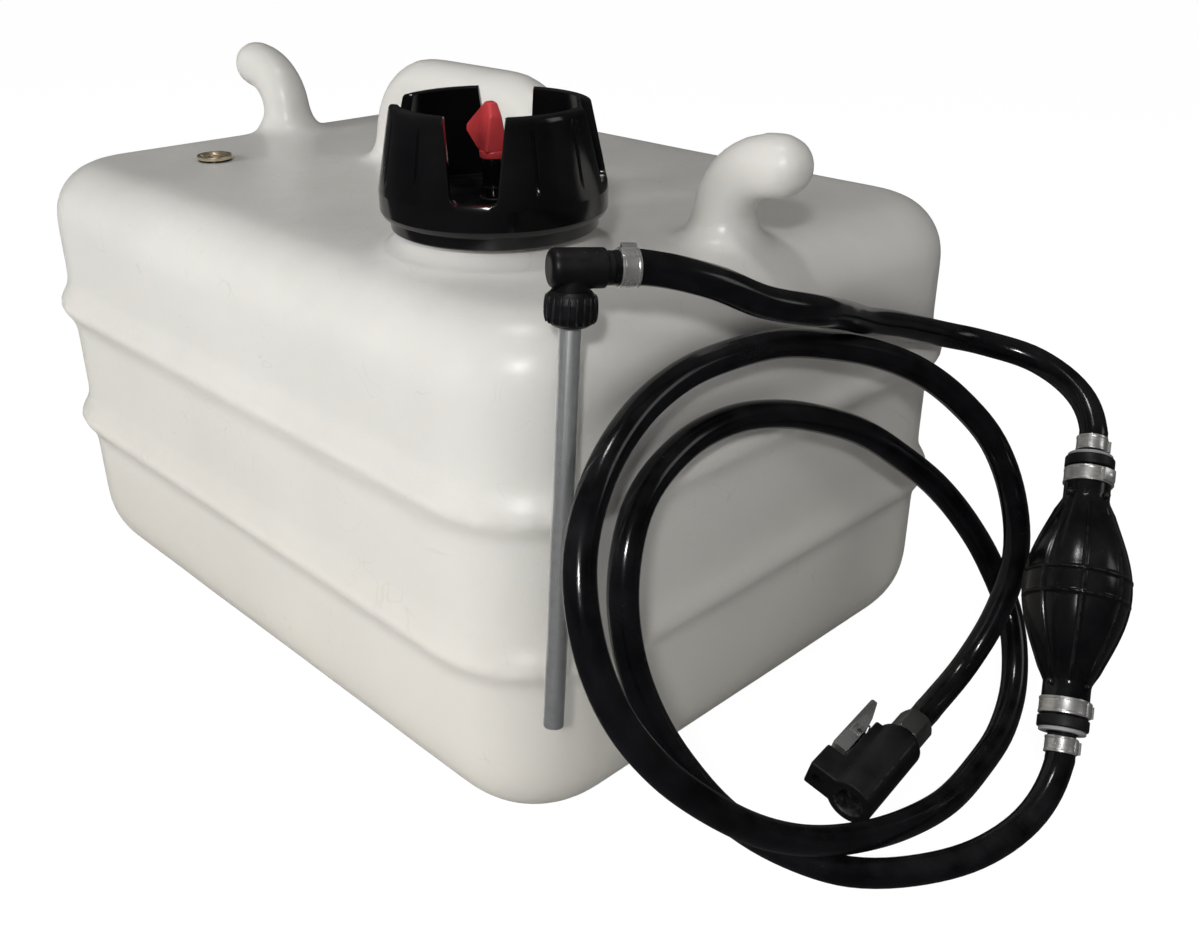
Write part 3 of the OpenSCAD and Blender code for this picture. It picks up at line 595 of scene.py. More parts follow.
def scuff_group():
    """Fine scuffs in all directions."""
    t = Group("Scuffs", "ShaderNodeTree")
    place = t.input("Vector", "Vector")
    scale = t.input("Scale", "Float", 60.0)
    width = t.input("Width", "Float", 0.012)
    lines = t.noise(place, scale, 1.0, 2.5)
    thin = t.math("LESS_THAN", t.math("ABSOLUTE", t.math("SUBTRACT", lines, 0.5)), width)
    t.output("Mask", "Float", t.math("MULTIPLY", thin, t.spread(t.noise(place, 25.0), start=0.5, end=0.65)))
    return t


GROUPS = {}
TREES = {}
FINISH = {}


class Finish(Wiring):
    """One material: a Principled shader fed by shared groups."""

    def __init__(self, name, roughness, metallic=0.0, uv=False, **constants):
        self.material = bpy.data.materials.new(name)
        self.material.use_nodes = True
        super().__init__(self.material.node_tree)
        self.shader = self.nodes["Principled BSDF"]
        self.feed(self.shader, Roughness=roughness, Metallic=metallic, **constants)
        coordinates = self.nodes.new("ShaderNodeTexCoord")
        self.place = coordinates.outputs["UV" if uv else "Object"]
        self.height = None

    def group(self, name, **values):
        node = self.node("ShaderNodeGroup", node_tree=GROUPS[name].tree)
        return self.feed(node, Vector=self.place, **values)

    def mix(self, factor, a, b):
        node = self.node("ShaderNodeMix", factor, data_type="RGBA")
        for socket, link in ((node.inputs[6], a), (node.inputs[7], b)):
            if isinstance(link, bpy.types.NodeSocket):
                self.tree.links.new(link, socket)
            else:
                socket.default_value = (*link, 1.0)
        return node.outputs[2]

    def bump(self, height, distance, strength=1.0):
        node = self.node("ShaderNodeBump")
        self.feed(node, Distance=distance, Strength=strength, Height=height, Normal=self.height)
        self.height = node.outputs[0]
        self.feed(self.shader, Normal=self.height)


def lift(colour, factor):
    return tuple(min(1.0, c * factor) for c in colour)


def plastic_finish(name, colour, roughness, grain=1400.0, depth=0.00004, dust=0.15, wear=0.3, **constants):
    """Moulded plastic or rubber: grain, mottling, dust, scuffs and rubbed edges."""
    f = Finish(name, roughness, **constants)
    marks = f.group("grain", Scale=grain, Slow_scale=30.0)
    mottle = marks.outputs["Mottle"]
    base = f.mix(f.spread(mottle, start=0.35, end=0.65), lift(colour, 0.8), lift(colour, 1.25))
    rubbed = f.math("MULTIPLY", f.group("wear").outputs[0], wear)
    base = f.mix(rubbed, base, tuple(c * 0.5 + 0.10 for c in colour))
    film = f.group("dust", Amount=dust).outputs[0]
    base = f.mix(film, base, (0.22, 0.21, 0.19))
    scuffs = f.group("scuffs", Scale=70.0).outputs[0]
    rough = f.spread(mottle, roughness * 0.85, roughness * 1.2, 0.3, 0.7)
    rough = f.math("ADD", rough, f.math("MULTIPLY", scuffs, 0.18))
    rough = f.math("ADD", rough, f.math("MULTIPLY", film, 0.5))
    f.feed(f.shader, Base_Color=base, Roughness=rough)
    f.bump(marks.outputs["Height"], depth)
    return f.material


def metal_finish(name, colour, roughness, stretch, depth=0.00003, tarnish=0.25):
    """Rolled, drawn or turned metal: lines along the work and tarnish."""
    f = Finish(name, roughness, metallic=0.88, uv=True)
    lines = f.group("lines", Stretch=stretch).outputs[0]
    marks = f.group("grain", Scale=500.0, Slow_scale=160.0)
    dull = f.spread(marks.outputs["Mottle"], 0.0, tarnish, 0.42, 0.66)
    base = f.mix(dull, colour, lift(colour, 0.45))
    base = f.mix(f.spread(lines, 0.0, 0.35, 0.35, 0.7), base, lift(colour, 0.72))
    rough = f.spread(lines, roughness * 0.75, roughness * 1.35, 0.3, 0.7)
    f.feed(f.shader, Base_Color=base, Roughness=f.math("ADD", rough, f.math("MULTIPLY", dull, 0.3)))
    f.bump(lines, depth)
    return f.material


def tank_finish(tank):
    """Natural polyethylene: faint flow mottling, darker and more beige towards the bottom, soft gloss."""
    f = Finish("Natural Polyethylene", 0.36, Subsurface_Weight=0.22, Subsurface_Scale=0.008, IOR=1.5)
    f.feed(f.shader, Subsurface_Radius=(1.0, 0.8, 0.55))
    marks = f.group("grain", Scale=650.0, Slow_scale=9.0)
    mottle = marks.outputs["Mottle"]
    base = f.mix(f.spread(mottle, start=0.35, end=0.65), lift(tank, 0.965), lift(tank, 1.03))
    # the colour turns darker and more beige towards the bottom of the tank
    height = f.node("ShaderNodeSeparateXYZ", f.place).outputs["Z"]
    base = f.mix(f.spread(height, 0.55, 0.0, 0.0, 0.2), base, (tank[0] * 0.97, tank[1] * 0.93, tank[2] * 0.85))
    streak = f.group("lines", Stretch=(14.0, 14.0, 2.0)).outputs[0]
    base = f.mix(f.spread(streak, 0.0, 0.25, 0.5, 0.75), base, lift(tank, 0.93))
    base = f.mix(f.group("dust", Amount=0.10).outputs[0], base, (0.42, 0.40, 0.36))
    scuffs = f.group("scuffs", Scale=22.0, Width=0.006).outputs[0]
    base = f.mix(f.math("MULTIPLY", scuffs, 0.12), base, (0.35, 0.33, 0.30))
    rough = f.math("ADD", f.spread(mottle, 0.285, 0.37, 0.3, 0.7), f.math("MULTIPLY", scuffs, 0.2))
    f.feed(f.shader, Base_Color=base, Roughness=rough)
    f.bump(marks.outputs["Height"], 0.00006)
    f.bump(f.noise(f.place, 45.0), 0.0004, 0.5)
    return f.material


def hose_finish(rubber):
    """Black rubber with extrusion lines along the hose."""
    f = Finish("Hose Rubber", 0.26, uv=True, Specular_IOR_Level=0.34)
    lines = f.group("lines", Stretch=(6.0, 2400.0, 1.0)).outputs[0]
    marks = f.group("grain", Scale=700.0, Slow_scale=60.0)
    base = f.mix(f.spread(marks.outputs["Mottle"], start=0.35, end=0.65), lift(rubber, 0.7), lift(rubber, 1.8))
    base = f.mix(f.group("dust", Amount=0.05).outputs[0], base, (0.2, 0.19, 0.18))
    scuffs = f.math("MULTIPLY", f.group("scuffs", Scale=90.0).outputs[0], 0.15)
    rough = f.math("ADD", f.spread(lines, 0.11, 0.19, 0.3, 0.7), scuffs)
    f.feed(f.shader, Base_Color=base, Roughness=rough)
    f.bump(lines, 0.000012)
    f.bump(marks.outputs["Height"], 0.00001)
    return f.material


def make_finishes(c):
    for key, make in (
        ("grain", grain_group),
        ("lines", lines_group),
        ("wear", wear_group),
        ("dust", dust_group),
        ("scuffs", scuff_group),
    ):
        GROUPS[key] = make()
    TREES["coil"] = coil_tree()
    TREES["ring"] = ring_tree()
    rubber = tuple(c.rubber)
    FINISH["tank_plastic"] = tank_finish(tuple(c.tank))
    FINISH["hose_rubber"] = hose_finish(rubber)
    for key, name, colour, rough, grain, depth, dust, wear, shine in (
        ("cap_plastic", "Glossy Black Plastic", tuple(c.cap), 0.16, 1400.0, 0.00001, 0.05, 0.2, 0.42),
        ("knob_plastic", "Red Plastic", tuple(c.knob), 0.32, 1400.0, 0.00003, 0.03, 0.25, 0.4),
        ("fitting_plastic", "Satin Black Plastic", tuple(c.fitting), 0.42, 1800.0, 0.00005, 0.06, 0.3, 0.32),
        ("ring_plastic", "Grey Plastic", (0.27, 0.27, 0.275), 0.4, 1400.0, 0.00004, 0.1, 0.2, 0.5),
        ("seal_rubber", "Seal Rubber", rubber, 0.55, 1400.0, 0.00006, 0.15, 0.3, 0.25),
        ("bulb_rubber", "Moulded Rubber", rubber, 0.15, 2200.0, 0.00002, 0.05, 0.4, 0.34),
    ):
        FINISH[key] = plastic_finish(name, colour, rough, grain, depth, dust, wear, Specular_IOR_Level=shine)
    for key, name, colour, rough, stretch, depth, tarnish in (
        ("clamp_steel", "Stainless Band", tuple(c.steel), 0.3, (30.0, 2600.0, 1.0), 0.00001, 0.1),
        ("nut_steel", "Dark Plated Steel", (0.24, 0.24, 0.235), 0.24, (300.0, 900.0, 1.0), 0.00003, 0.4),
        ("latch_chrome", "Chromed Sheet", (0.85, 0.85, 0.84), 0.14, (40.0, 700.0, 1.0), 0.00001, 0.35),
        ("tube_aluminium", "Drawn Aluminium", (0.86, 0.87, 0.88), 0.36, (2600.0, 12.0, 1.0), 0.00003, 0.25),
        ("brass", "Turned Brass", tuple(c.brass), 0.26, (40.0, 3000.0, 1.0), 0.00003, 0.25),
    ):
        FINISH[key] = metal_finish(name, colour, rough, stretch, depth, tarnish)


# ---------------------------------------------------------------- operators


def add_camera(scene):
    """The camera that was fitted to the tank's edges in the picture; width and focal are in its pixels."""
    width, focal, sensor = 1199.0, 1233.3, 36.0
    azimuth, elevation, roll = math.radians(45.25), math.radians(25.78), math.radians(0.12)
    level = math.cos(elevation)
    ahead = Vector((-math.sin(azimuth) * level, math.cos(azimuth) * level, -math.sin(elevation)))
    right = ahead.cross(Vector((0, 0, 1))).normalized()
    up = right.cross(ahead)
    across = right * math.cos(roll) + up * math.sin(roll)
    above = up * math.cos(roll) - right * math.sin(roll)
    camera = new_object("Camera", bpy.data.cameras.new("Camera"))
    turn = Matrix((across, above, -ahead)).transposed().to_4x4()
    camera.matrix_world = Matrix.Translation((0.4981, -0.4034, 0.3775)) @ turn
    camera.data.sensor_width = sensor
    camera.data.lens = focal / width * sensor
    camera.data.clip_start = 0.01
    scene.camera = camera


def add_floor():
    """A floor that is white to the camera with the shadow left in, and dark in what is polished."""
    white = bpy.data.materials.new("White Floor")
    white.use_nodes = True
    w = Wiring(white.node_tree)
    paint = w.nodes["Principled BSDF"]
    w.feed(paint, Base_Color=(0.82, 0.82, 0.82, 1), Roughness=0.9, Specular_IOR_Level=0.1)
    glow = w.feed(w.node("ShaderNodeEmission"), Color=(1, 1, 1, 1), Strength=1.12)
    dark = w.feed(w.node("ShaderNodeEmission"), Strength=0.05)
    ray = w.node("ShaderNodeLightPath").outputs
    part = w.math("MULTIPLY", ray["Is Camera Ray"], 0.86)
    shown = w.node("ShaderNodeMixShader", part, paint.outputs[0], glow.outputs[0])
    polished = w.node("ShaderNodeMixShader", ray["Is Glossy Ray"], shown.outputs[0], dark.outputs[0])
    w.feed(w.nodes["Material Output"], Surface=polished.outputs[0])
    mesh = bpy.data.meshes.new("Floor")
    size = 6.0
    mesh.from_pydata([(-size, -size, 0), (size, -size, 0), (size, size, 0), (-size, size, 0)], [], [(0, 1, 2, 3)])
    mesh.materials.append(white)
    new_object("Floor", mesh)


def add_world(scene):
    """White to the camera, a soft light on what is dull, and a dark room with a paler ceiling in polish."""
    world = bpy.data.worlds.new("Studio")
    scene.world = world
    world.use_nodes = True
    w = Wiring(world.node_tree)
    ray = w.node("ShaderNodeLightPath").outputs
    shiny = w.math("MAXIMUM", ray["Is Glossy Ray"], ray["Is Transmission Ray"])
    way = w.node("ShaderNodeTexCoord").outputs["Generated"]
    room = w.spread(w.node("ShaderNodeSeparateXYZ", way).outputs["Z"], 0.015, 0.07, 0.0, 0.9)
    level = w.node("ShaderNodeMix", shiny, None, 0.2, room)
    bright = w.node("ShaderNodeMix", ray["Is Camera Ray"], None, level.outputs[0], 1.0)
    w.feed(w.nodes["Background"], Color=(1, 1, 1, 1), Strength=bright.outputs[0])


class FUELTANK_OT_stage(bpy.types.Operator):
    """Floor, camera, world and lamps"""

    bl_idname = "fueltank.stage"
    bl_label = "Stage"

    def execute(self, context):
        scene = context.scene
        scene.view_settings.view_transform = "Standard"
        add_camera(scene)
        add_floor()
        add_world(scene)
        for name, at, aim, energy, size in (
            ("Key", (0.95, -1.07, 0.98), (0.15, -0.1, 0.12), 8.0, 0.13),
            ("Left Fill", (-0.5, -2.1, 0.75), (0.0, 0.0, 0.1), 30.0, 1.0),
            ("Rim", (1.5, 0.9, 0.9), (0.2, 0.0, 0.1), 1.4, 0.5),
            ("Overhead", (0.15, -0.2, 1.55), (0.15, -0.1, 0.1), 3.2, 0.16),
        ):
            data = bpy.data.lights.new(name, "AREA")
            data.energy = energy
            data.size = size
            lamp = new_object(name, data)
            lamp.location = at
            lamp.visible_glossy = name != "Left Fill"
            lamp.rotation_euler = (Vector(aim) - Vector(at)).to_track_quat("-Z", "Y").to_euler()
        make_finishes(scene.fuel_tank_finishes)
        return {"FINISHED"}


class FUELTANK_OT_hoses(bpy.types.Operator):
    """The two fuel hoses along their routes"""

    bl_idname = "fueltank.hoses"
    bl_label = "Hoses"

    def execute(self, context):
        radius = context.scene.fuel_tank_kit.hose_d / MM / 2
        for node, start, route, end in (
            ("tank_hose", (ON_ELBOW, 14, 26), TANK_HOSE_ROUTE, (ON_BULB, 78, 65)),
            ("engine_hose", (ON_BULB, -65, -78), ENGINE_HOSE_ROUTE, (ON_CONNECTOR, 77, 63)),
        ):
            first, last = [[piece @ Vector((0, 0, z)) for z in heights] for piece, *heights in (start, end)]
            line = [p / MM for p in smooth_line(first + [Vector(p) * MM for p in route] + last)]
            along = [0.0]
            for a, b in zip(line, line[1:]):
                along.append(along[-1] + (b - a).length)
            # the hose swells a little over the end of each barb, and its own ends are rounded
            radii = []
            for s in along:
                d = min(s, along[-1] - s)
                radii.append(radius + 0.22 * math.exp(-(((d - 10.5) / 1.6) ** 2)) - 0.25 * math.exp(-((d / 0.35) ** 2)))
            tube = swept(node + "_line", line, radii, 24)
            placed(tube, Matrix.Scale(MM, 4), "hose_rubber", "tank", node)
        return {"FINISHED"}


def tank_level(inset, z, steps=14):
    r = max(CORNER_R - inset, 2)
    x, y = TANK_L / 2 - inset - r, TANK_W / 2 - inset - r
    ring = []
    for q, (sx, sy) in enumerate(((1, 1), (-1, 1), (-1, -1), (1, -1))):
        for a in arc(90, steps):
            a += math.radians(90 * q)
            ring.append(Vector((sx * x + r * math.cos(a), sy * y + r * math.sin(a), z)))
    return ring


def tank_levels(inset, beads=()):
    """Levels from the flat base to the flat top."""
    low, high = BASE_R - inset, TOP_R - inset
    levels = [(inset + low * (1 - math.sin(a)), inset + low * (1 - math.cos(a))) for a in arc(90, 14)]
    for crest in beads:
        for k in range(17):
            swell = (1 - math.cos(2 * math.pi * k / 16)) / 2
            levels.append((-BEAD_D * swell**1.25, crest + BEAD_H * (k / 16 - 0.5)))
    levels += [(inset + high * (1 - math.cos(a)), TANK_H - TOP_R + high * math.sin(a)) for a in arc(90, 12)]
    return [tank_level(i, z) for i, z in levels]


def tank_grip():
    top, end, r = TANK_H + GRIP_RISE - BAR_R, GRIP_HALF, GRIP_BEND
    roots = (230, 236, 241)
    line = [(-end, 0, z) for z in roots]
    line += [(-end + r - r * math.cos(a), 0, top - r + r * math.sin(a)) for a in arc(90, 10)]
    line += [(end - r + r * math.sin(a), 0, top - r + r * math.cos(a)) for a in arc(90, 10)]
    line += [(end, 0, z) for z in reversed(roots)]
    flare = [1.6, 1.3, 1.1] + [1.0] * 22 + [1.1, 1.3, 1.6]
    return swept("Grip", line, [BAR_R * f for f in flare])


def tank_hook(side, root):
    """A hook that rises, bends outwards and ends in a round tip."""
    (out, up), bend, tip = HOOK_BEND, arc(90, 14), arc(85, 8, 1)
    path = [(0, 228), (0, 235), (0, 241)]
    path += [(out * (1 - math.cos(a)), 246 + up * math.sin(a)) for a in bend]
    path += [(out + HOOK_R * math.sin(a), 246 + up) for a in tip]
    girth = [1.75, 1.4, 1.12] + [1.0] * len(bend) + [math.cos(a) for a in tip]
    return swept("Hook", [(side * (root + x), 0, z) for x, z in path], [HOOK_R * g for g in girth])


class FUELTANK_OT_tank(bpy.types.Operator):
    """Blow-moulded tank with its handle, hooks, collar and neck"""

    bl_idname = "fueltank.tank"
    bl_label = "Tank"

    def execute(self, context):
        sizes = context.scene.fuel_tank_sizes
        flare = [(0, 230), (52, 230), (50.5, 235.2), (44, 237), (41, 240), (39.4, 243.2), (37.5, 244), (0, 244)]
        collar = moved(lathe("Collar", flare, 96), shift(*FILLER_AT))
        neck = moved(rod("Neck", NECK_R, TANK_H, NECK_TOP, 96), shift(*FILLER_AT))
        hooks = [tank_hook(side, root) for side, root in HOOK_ROOTS]
        tank = joined("tank_moulding", skin("Body", tank_levels(0, BEADS)), tank_grip(), *hooks, collar, neck)
        fused(tank, sizes.voxel / MM, sizes.blend)

        # slow waves in the walls, always inwards
        depth = sizes.waviness / MM
        normals = [n.vector.copy() for n in tank.data.vertex_normals]
        for v, normal in zip(tank.data.vertices, normals):
            wave = noise.noise(v.co * 0.02) * 0.5 + 0.5
            if 1.0 < v.co.z < TANK_H + 1:
                v.co -= normal * depth * wave

        mouth = moved(rod("Mouth", MOUTH_R, 225, 260, 96), shift(*FILLER_AT))
        hole = moved(rod("Hole", INSERT_R, 225, 245, 64), shift(*INSERT_AT))
        bored(tank, skin("Inside", tank_levels(WALL)), mouth, hole)
        placed(tank, ON_TANK, "tank_plastic", "tank", "tank_shell", crease=50)
        return {"FINISHED"}


class FUELTANK_OT_insert(bpy.types.Operator):
    """Threaded brass insert"""

    bl_idname = "fueltank.insert"
    bl_label = "Brass Insert"

    def execute(self, context):
        low, seat, top = 221, TANK_H + 1, TANK_H + 3
        profile = [(6.0, low), (INSERT_R, low), (INSERT_R, seat), (INSERT_FLANGE_R, seat), (INSERT_FLANGE_R, top)]
        profile += [(7.5, top), (6.0, top - 1.2)]
        insert = turned("insert_bush", profile, [0, 0.4, 0, 0.3, 0.4, 0.2, 0.2], 96)
        placed(insert, ON_INSERT, "brass", "tank", "brass_insert")
        thread = with_tree(
            "insert_thread", TREES["coil"], "brass", Radius=5.9, Height=13.5, Turns=10.0, Wire_radius=0.7, Wire_sides=3
        )
        placed(thread, ON_INSERT @ shift(z=low + 1), "brass", "tank")
        return {"FINISHED"}


class FUELTANK_OT_seals(bpy.types.Operator):
    """Rubber seals: insert, cap, vent, pickup and connector"""

    bl_idname = "fueltank.seals"
    bl_label = "Seals"

    def execute(self, context):
        for node, matrix, outer, inner, low, high, body in (
            ("insert_seal", ON_INSERT, 8.6, INSERT_R, TANK_H, TANK_H + 1, "tank"),
            ("cap_gasket", ON_FILLER, 32.0, 28.0, NECK_TOP, 251.8, "gasket"),
            ("vent_seal", ON_FILLER, 6.2, VENT_BORE_R, CAP_WEB, CAP_WEB + 1, "vent_washer"),
            ("pickup_seal", ON_PICKUP, 6.0, TUBE_R, 3.2, 4.2, "tank"),
            ("connector_seal", ON_CONNECTOR, 7.7, SOCKET_R, 6.0, 8.4, "tank"),
        ):
            ring = turned(node + "_ring", tube_profile(outer, inner, low, high), 0.35, 72)
            placed(ring, matrix, "seal_rubber", body, node)
        return {"FINISHED"}


NOTCH_Z = CAP_RIM - NOTCH_D
CAP_BAND = 16


def cap_outer(z):
    rise = z - CAP_BASE - CAP_BAND
    return CAP_R - (CAP_R - CAP_TOP_R) / (CAP_RIM - CAP_BASE - CAP_BAND) * max(rise, 0)


def cap_inner(z):
    return 43 + (36.5 - 43) * (z - CAP_WEB) / (CAP_RIM - CAP_WEB)


def notch_half(z):
    """Half width of a notch at a height, with round lower corners."""
    rise, corner = z - NOTCH_Z, 3
    wide = NOTCH_HALF + NOTCH_SPREAD * rise / NOTCH_D
    if rise < corner:
        wide += math.sqrt(max(corner**2 - (corner - rise) ** 2, 0)) - corner
    return wide


def cap_bearings(r, z, count=12):
    """Degrees from a notch's middle: those of a lug, dense at its grooves, then those of the notch after it."""

    def steps(a, b, first=1, last=count):
        return [a + (b - a) * k / count for k in range(first, last)]

    edge = math.degrees(math.asin(min(notch_half(z) / r, 0.99)))
    near = (-1.4, -0.9, -0.6, -0.3, 0, 0.3, 0.6, 0.9, 1.4)
    one, two = [[groove + math.degrees(d / CAP_R) for d in near] for groove in GROOVES]
    lug = steps(edge, one[0], 0) + one + steps(one[-1], two[0]) + two + steps(two[-1], 90 - edge, last=count + 1)
    return lug, steps(90 - edge, 90 + edge)


def cap_row(bm, r, z, q, bearings):
    """Vertices of one quarter at a height."""
    angles = [math.radians(CAP_TURN + 90 * q + a) for a in bearings]
    return [bm.verts.new((r * math.cos(a), r * math.sin(a), z)) for a in angles]


def groove_dip(r, z, bearing):
    """Depth of a lug's grooves, with soft ends."""
    low, high, half, soft = 266, 290.5, 0.85, 2.0
    if not low < z < high:
        return 0
    away = min(abs(math.radians(bearing - groove)) * r for groove in GROOVES)
    return GROOVE_D * (1 - min(away / half, 1.0) ** 2) * min(1.0, (z - low) / soft, (high - z) / soft)


def bridge(bm, a, b, closed=True):
    for k in range(len(a) if closed else len(a) - 1):
        n = (k + 1) % len(a)
        bm.faces.new((a[k], a[n], b[n], b[k]))


def cap_lug(bm, q, out_row, in_row):
    """One lug of the crown, on the rows of the body that it stands on."""
    edge, rim_in = 1.2, 1.0
    low, high = NOTCH_Z + 3, CAP_RIM - edge
    outs, ins = [out_row], [in_row]
    heights = [NOTCH_Z + 3 * (1 - math.cos(a)) for a in arc(90, 6, 1)]
    heights += [low + (high - low) * k / 16 for k in range(1, 17)]
    for z in heights:
        r = cap_outer(z)
        row = cap_row(bm, r, z, q, cap_bearings(r, z)[0])
        for vert, bearing in zip(row, cap_bearings(r, z)[0]):
            scale = 1 - groove_dip(r, z, bearing) / r
            vert.co.x *= scale
            vert.co.y *= scale
        outs.append(row)
        ins.append(cap_row(bm, cap_inner(z), z, q, cap_bearings(cap_inner(z), z)[0]))
    for a in arc(90, 3, 1):
        z, back = high + edge * math.sin(a), 1 - math.cos(a)
        for rows, r, inward in ((outs, cap_outer(CAP_RIM), -edge), (ins, cap_inner(CAP_RIM), rim_in)):
            rows.append(cap_row(bm, r + inward * back, z, q, cap_bearings(r, CAP_RIM)[0]))
    for rows in (outs, ins):
        for a, b in zip(rows, rows[1:]):
            bridge(bm, a, b, closed=False)
    bridge(bm, outs[-1], ins[-1], closed=False)
    for end in (0, -1):
        bridge(bm, [row[end] for row in outs], [row[end] for row in ins], closed=False)


class FUELTANK_OT_cap(bpy.types.Operator):
    """Screw cap with four notches in its crown and grooves in its lugs"""

    bl_idname = "fueltank.cap"
    bl_label = "Filler Cap"

    def execute(self, context):
        bm = bmesh.new()
        wall_in, under = cap_inner(NOTCH_Z), CAP_WEB - 3
        # the closed lower body: from the vent's bore round the outside to the notch floors, then back inside
        outside = rounded(
            [(VENT_BORE_R, CAP_WEB), (VENT_BORE_R, under), (33.4, under), (33.4, CAP_BASE), (43, CAP_BASE),
             (43, CAP_BASE + 5), (46, CAP_BASE + 6), (CAP_R, CAP_BASE + 8), (CAP_R, CAP_BASE + CAP_BAND),
             (cap_outer(NOTCH_Z), NOTCH_Z)],
            [0, 0, 0, 0.6, 0.8, 0.5, 0.6, 0.8, 1.2, 0],
        )
        floor_in = cap_inner(CAP_WEB + 0.01)
        ground = rounded([(wall_in, NOTCH_Z), (floor_in, CAP_WEB), (VENT_BORE_R, CAP_WEB)], [0, 1.5, 0])
        rows = []
        for r, z in outside + ground[:-1]:
            lug, gap = cap_bearings(r if r > 20 else 44, NOTCH_Z)
            rows.append([vert for q in range(4) for vert in cap_row(bm, r, z, q, lug + gap)])
        top, inside = rows[len(outside) - 1], rows[len(outside)]
        for a, b in zip(rows, rows[1:] + rows[:1]):
            if a is not top:
                bridge(bm, a, b)
        for q in range(4):
            start, end = q * len(lug + gap), q * len(lug + gap) + len(lug)
            floor = [k % len(top) for k in range(end - 1, end + len(gap) + 1)]
            bridge(bm, [top[k] for k in floor], [inside[k] for k in floor], closed=False)
            cap_lug(bm, q, top[start:end], inside[start:end])
        cap = eased(finished("cap_moulding", bm), 0.8, 3, 50)
        placed(cap, ON_FILLER, "cap_plastic", "cap", "filler_cap")
        return {"FINISHED"}


class FUELTANK_OT_vent(bpy.types.Operator):
    """Vent screw and its red knob"""

    bl_idname = "fueltank.vent"
    bl_label = "Vent"

    def execute(self, context):
        foot, seat = VENT_FOOT, 256.2
        stem = [(1.5, 249.5), (3.4, 249.5), (4, 250.2), (4, seat), (5.2, seat), (5.2, 260.0), (4.6, 260.6)]
        stem += [(4.6, foot - 3.2), (5.2, foot - 2.6), (5.2, foot), (1.5, foot)]
        placed(turned("vent_stem", stem, 0.25), ON_FILLER, "cap_plastic", "vent", "vent_screw")
        base = lathe("Foot", rounded([(0, 0), (5.6, 0), (5.6, 3), (0, 3)], [0, 0.6, 0.5, 0]))
        # the wing: a slab as thick as its foot, drawn in to a narrow top, that slopes down to one side
        low, high = 2.5, 22
        side = [(-5, low), (-5, 16.75), (-2.2, high), (2.6, high), (21, 10.5), (21, 7.4), (5, low)]
        wing = prism("Wing", side, -5, 5, spin(90, "X"))
        for v in wing.data.vertices:
            v.co.y *= 1.0 - 0.62 * max(v.co.z - low, 0) / (high - low)
        moved(eased(wing, 1.1, 4, 20), spin(KNOB_TURN))
        knob = moved(joined("vent_wing", base, wing), shift(z=foot))
        placed(knob, ON_FILLER, "knob_plastic", "vent", "vent_knob")
        return {"FINISHED"}


class FUELTANK_OT_pickup(bpy.types.Operator):
    """Pickup: elbow, nut with teeth and dip tube"""

    bl_idname = "fueltank.pickup"
    bl_label = "Pickup"

    def execute(self, context):
        tube = turned("pickup_tube", tube_profile(TUBE_R, TUBE_BORE_R, -156.5, 17.0), 0.25, 48)
        placed(tube, ON_PICKUP, "tube_aluminium", "tank", "dip_tube")

        line = [(0, -8.5), (7, -8.5), (7, 11.2), (6.0, 11.6), (6.0, 14), (3.2, 14), (3.2, 23), (2.6, 24), (0, 24)]
        barrel = lathe("Barrel", rounded(line, [0, 3.0, 0.4, 0.3, 0.3, 0, 0, 0, 0], steps=6))
        moved(barrel, shift(z=ELBOW_Z) @ spin(ELBOW_TURN) @ spin(90, "Y"))
        elbow = fused(joined("pickup_elbow_body", barrel, rod("Spigot", 6.2, 4.2, 19, 64)), 0.34, 5)
        bored(elbow, rod("Tube Bore", TUBE_R, 0, 17, 48), rod("Way", BARB_BORE_R, 16, 22.5, 48))
        placed(elbow, ON_PICKUP, "fitting_plastic", "tank", "pickup_elbow", crease=60)

        line = [(4.06, 0.05), (6.0, 0.05), (8.1, 1.4), (9.0, 3.8), (9.0, 8.6), (8.3, 11), (7.0, 12.45), (6.26, 12.45)]
        nut = turned("Nut", line + [(6.26, 3), (4.06, 3)], [0.2, 0.8, 0.8, 0.5, 0.8, 0.8, 0.3, 0.2, 0, 0], 96)
        count = context.scene.fuel_tank_kit.nut_teeth
        teeth = with_tree("Teeth", TREES["ring"], "fitting_plastic", Count=count, Radius=8.6, Size=(1.75, 1.5, 9.6))
        nut = joined("pickup_nut_toothed", nut, moved(teeth, shift(z=6.3)))
        placed(nut, ON_PICKUP, "fitting_plastic", "nut", "pickup_nut")
        return {"FINISHED"}


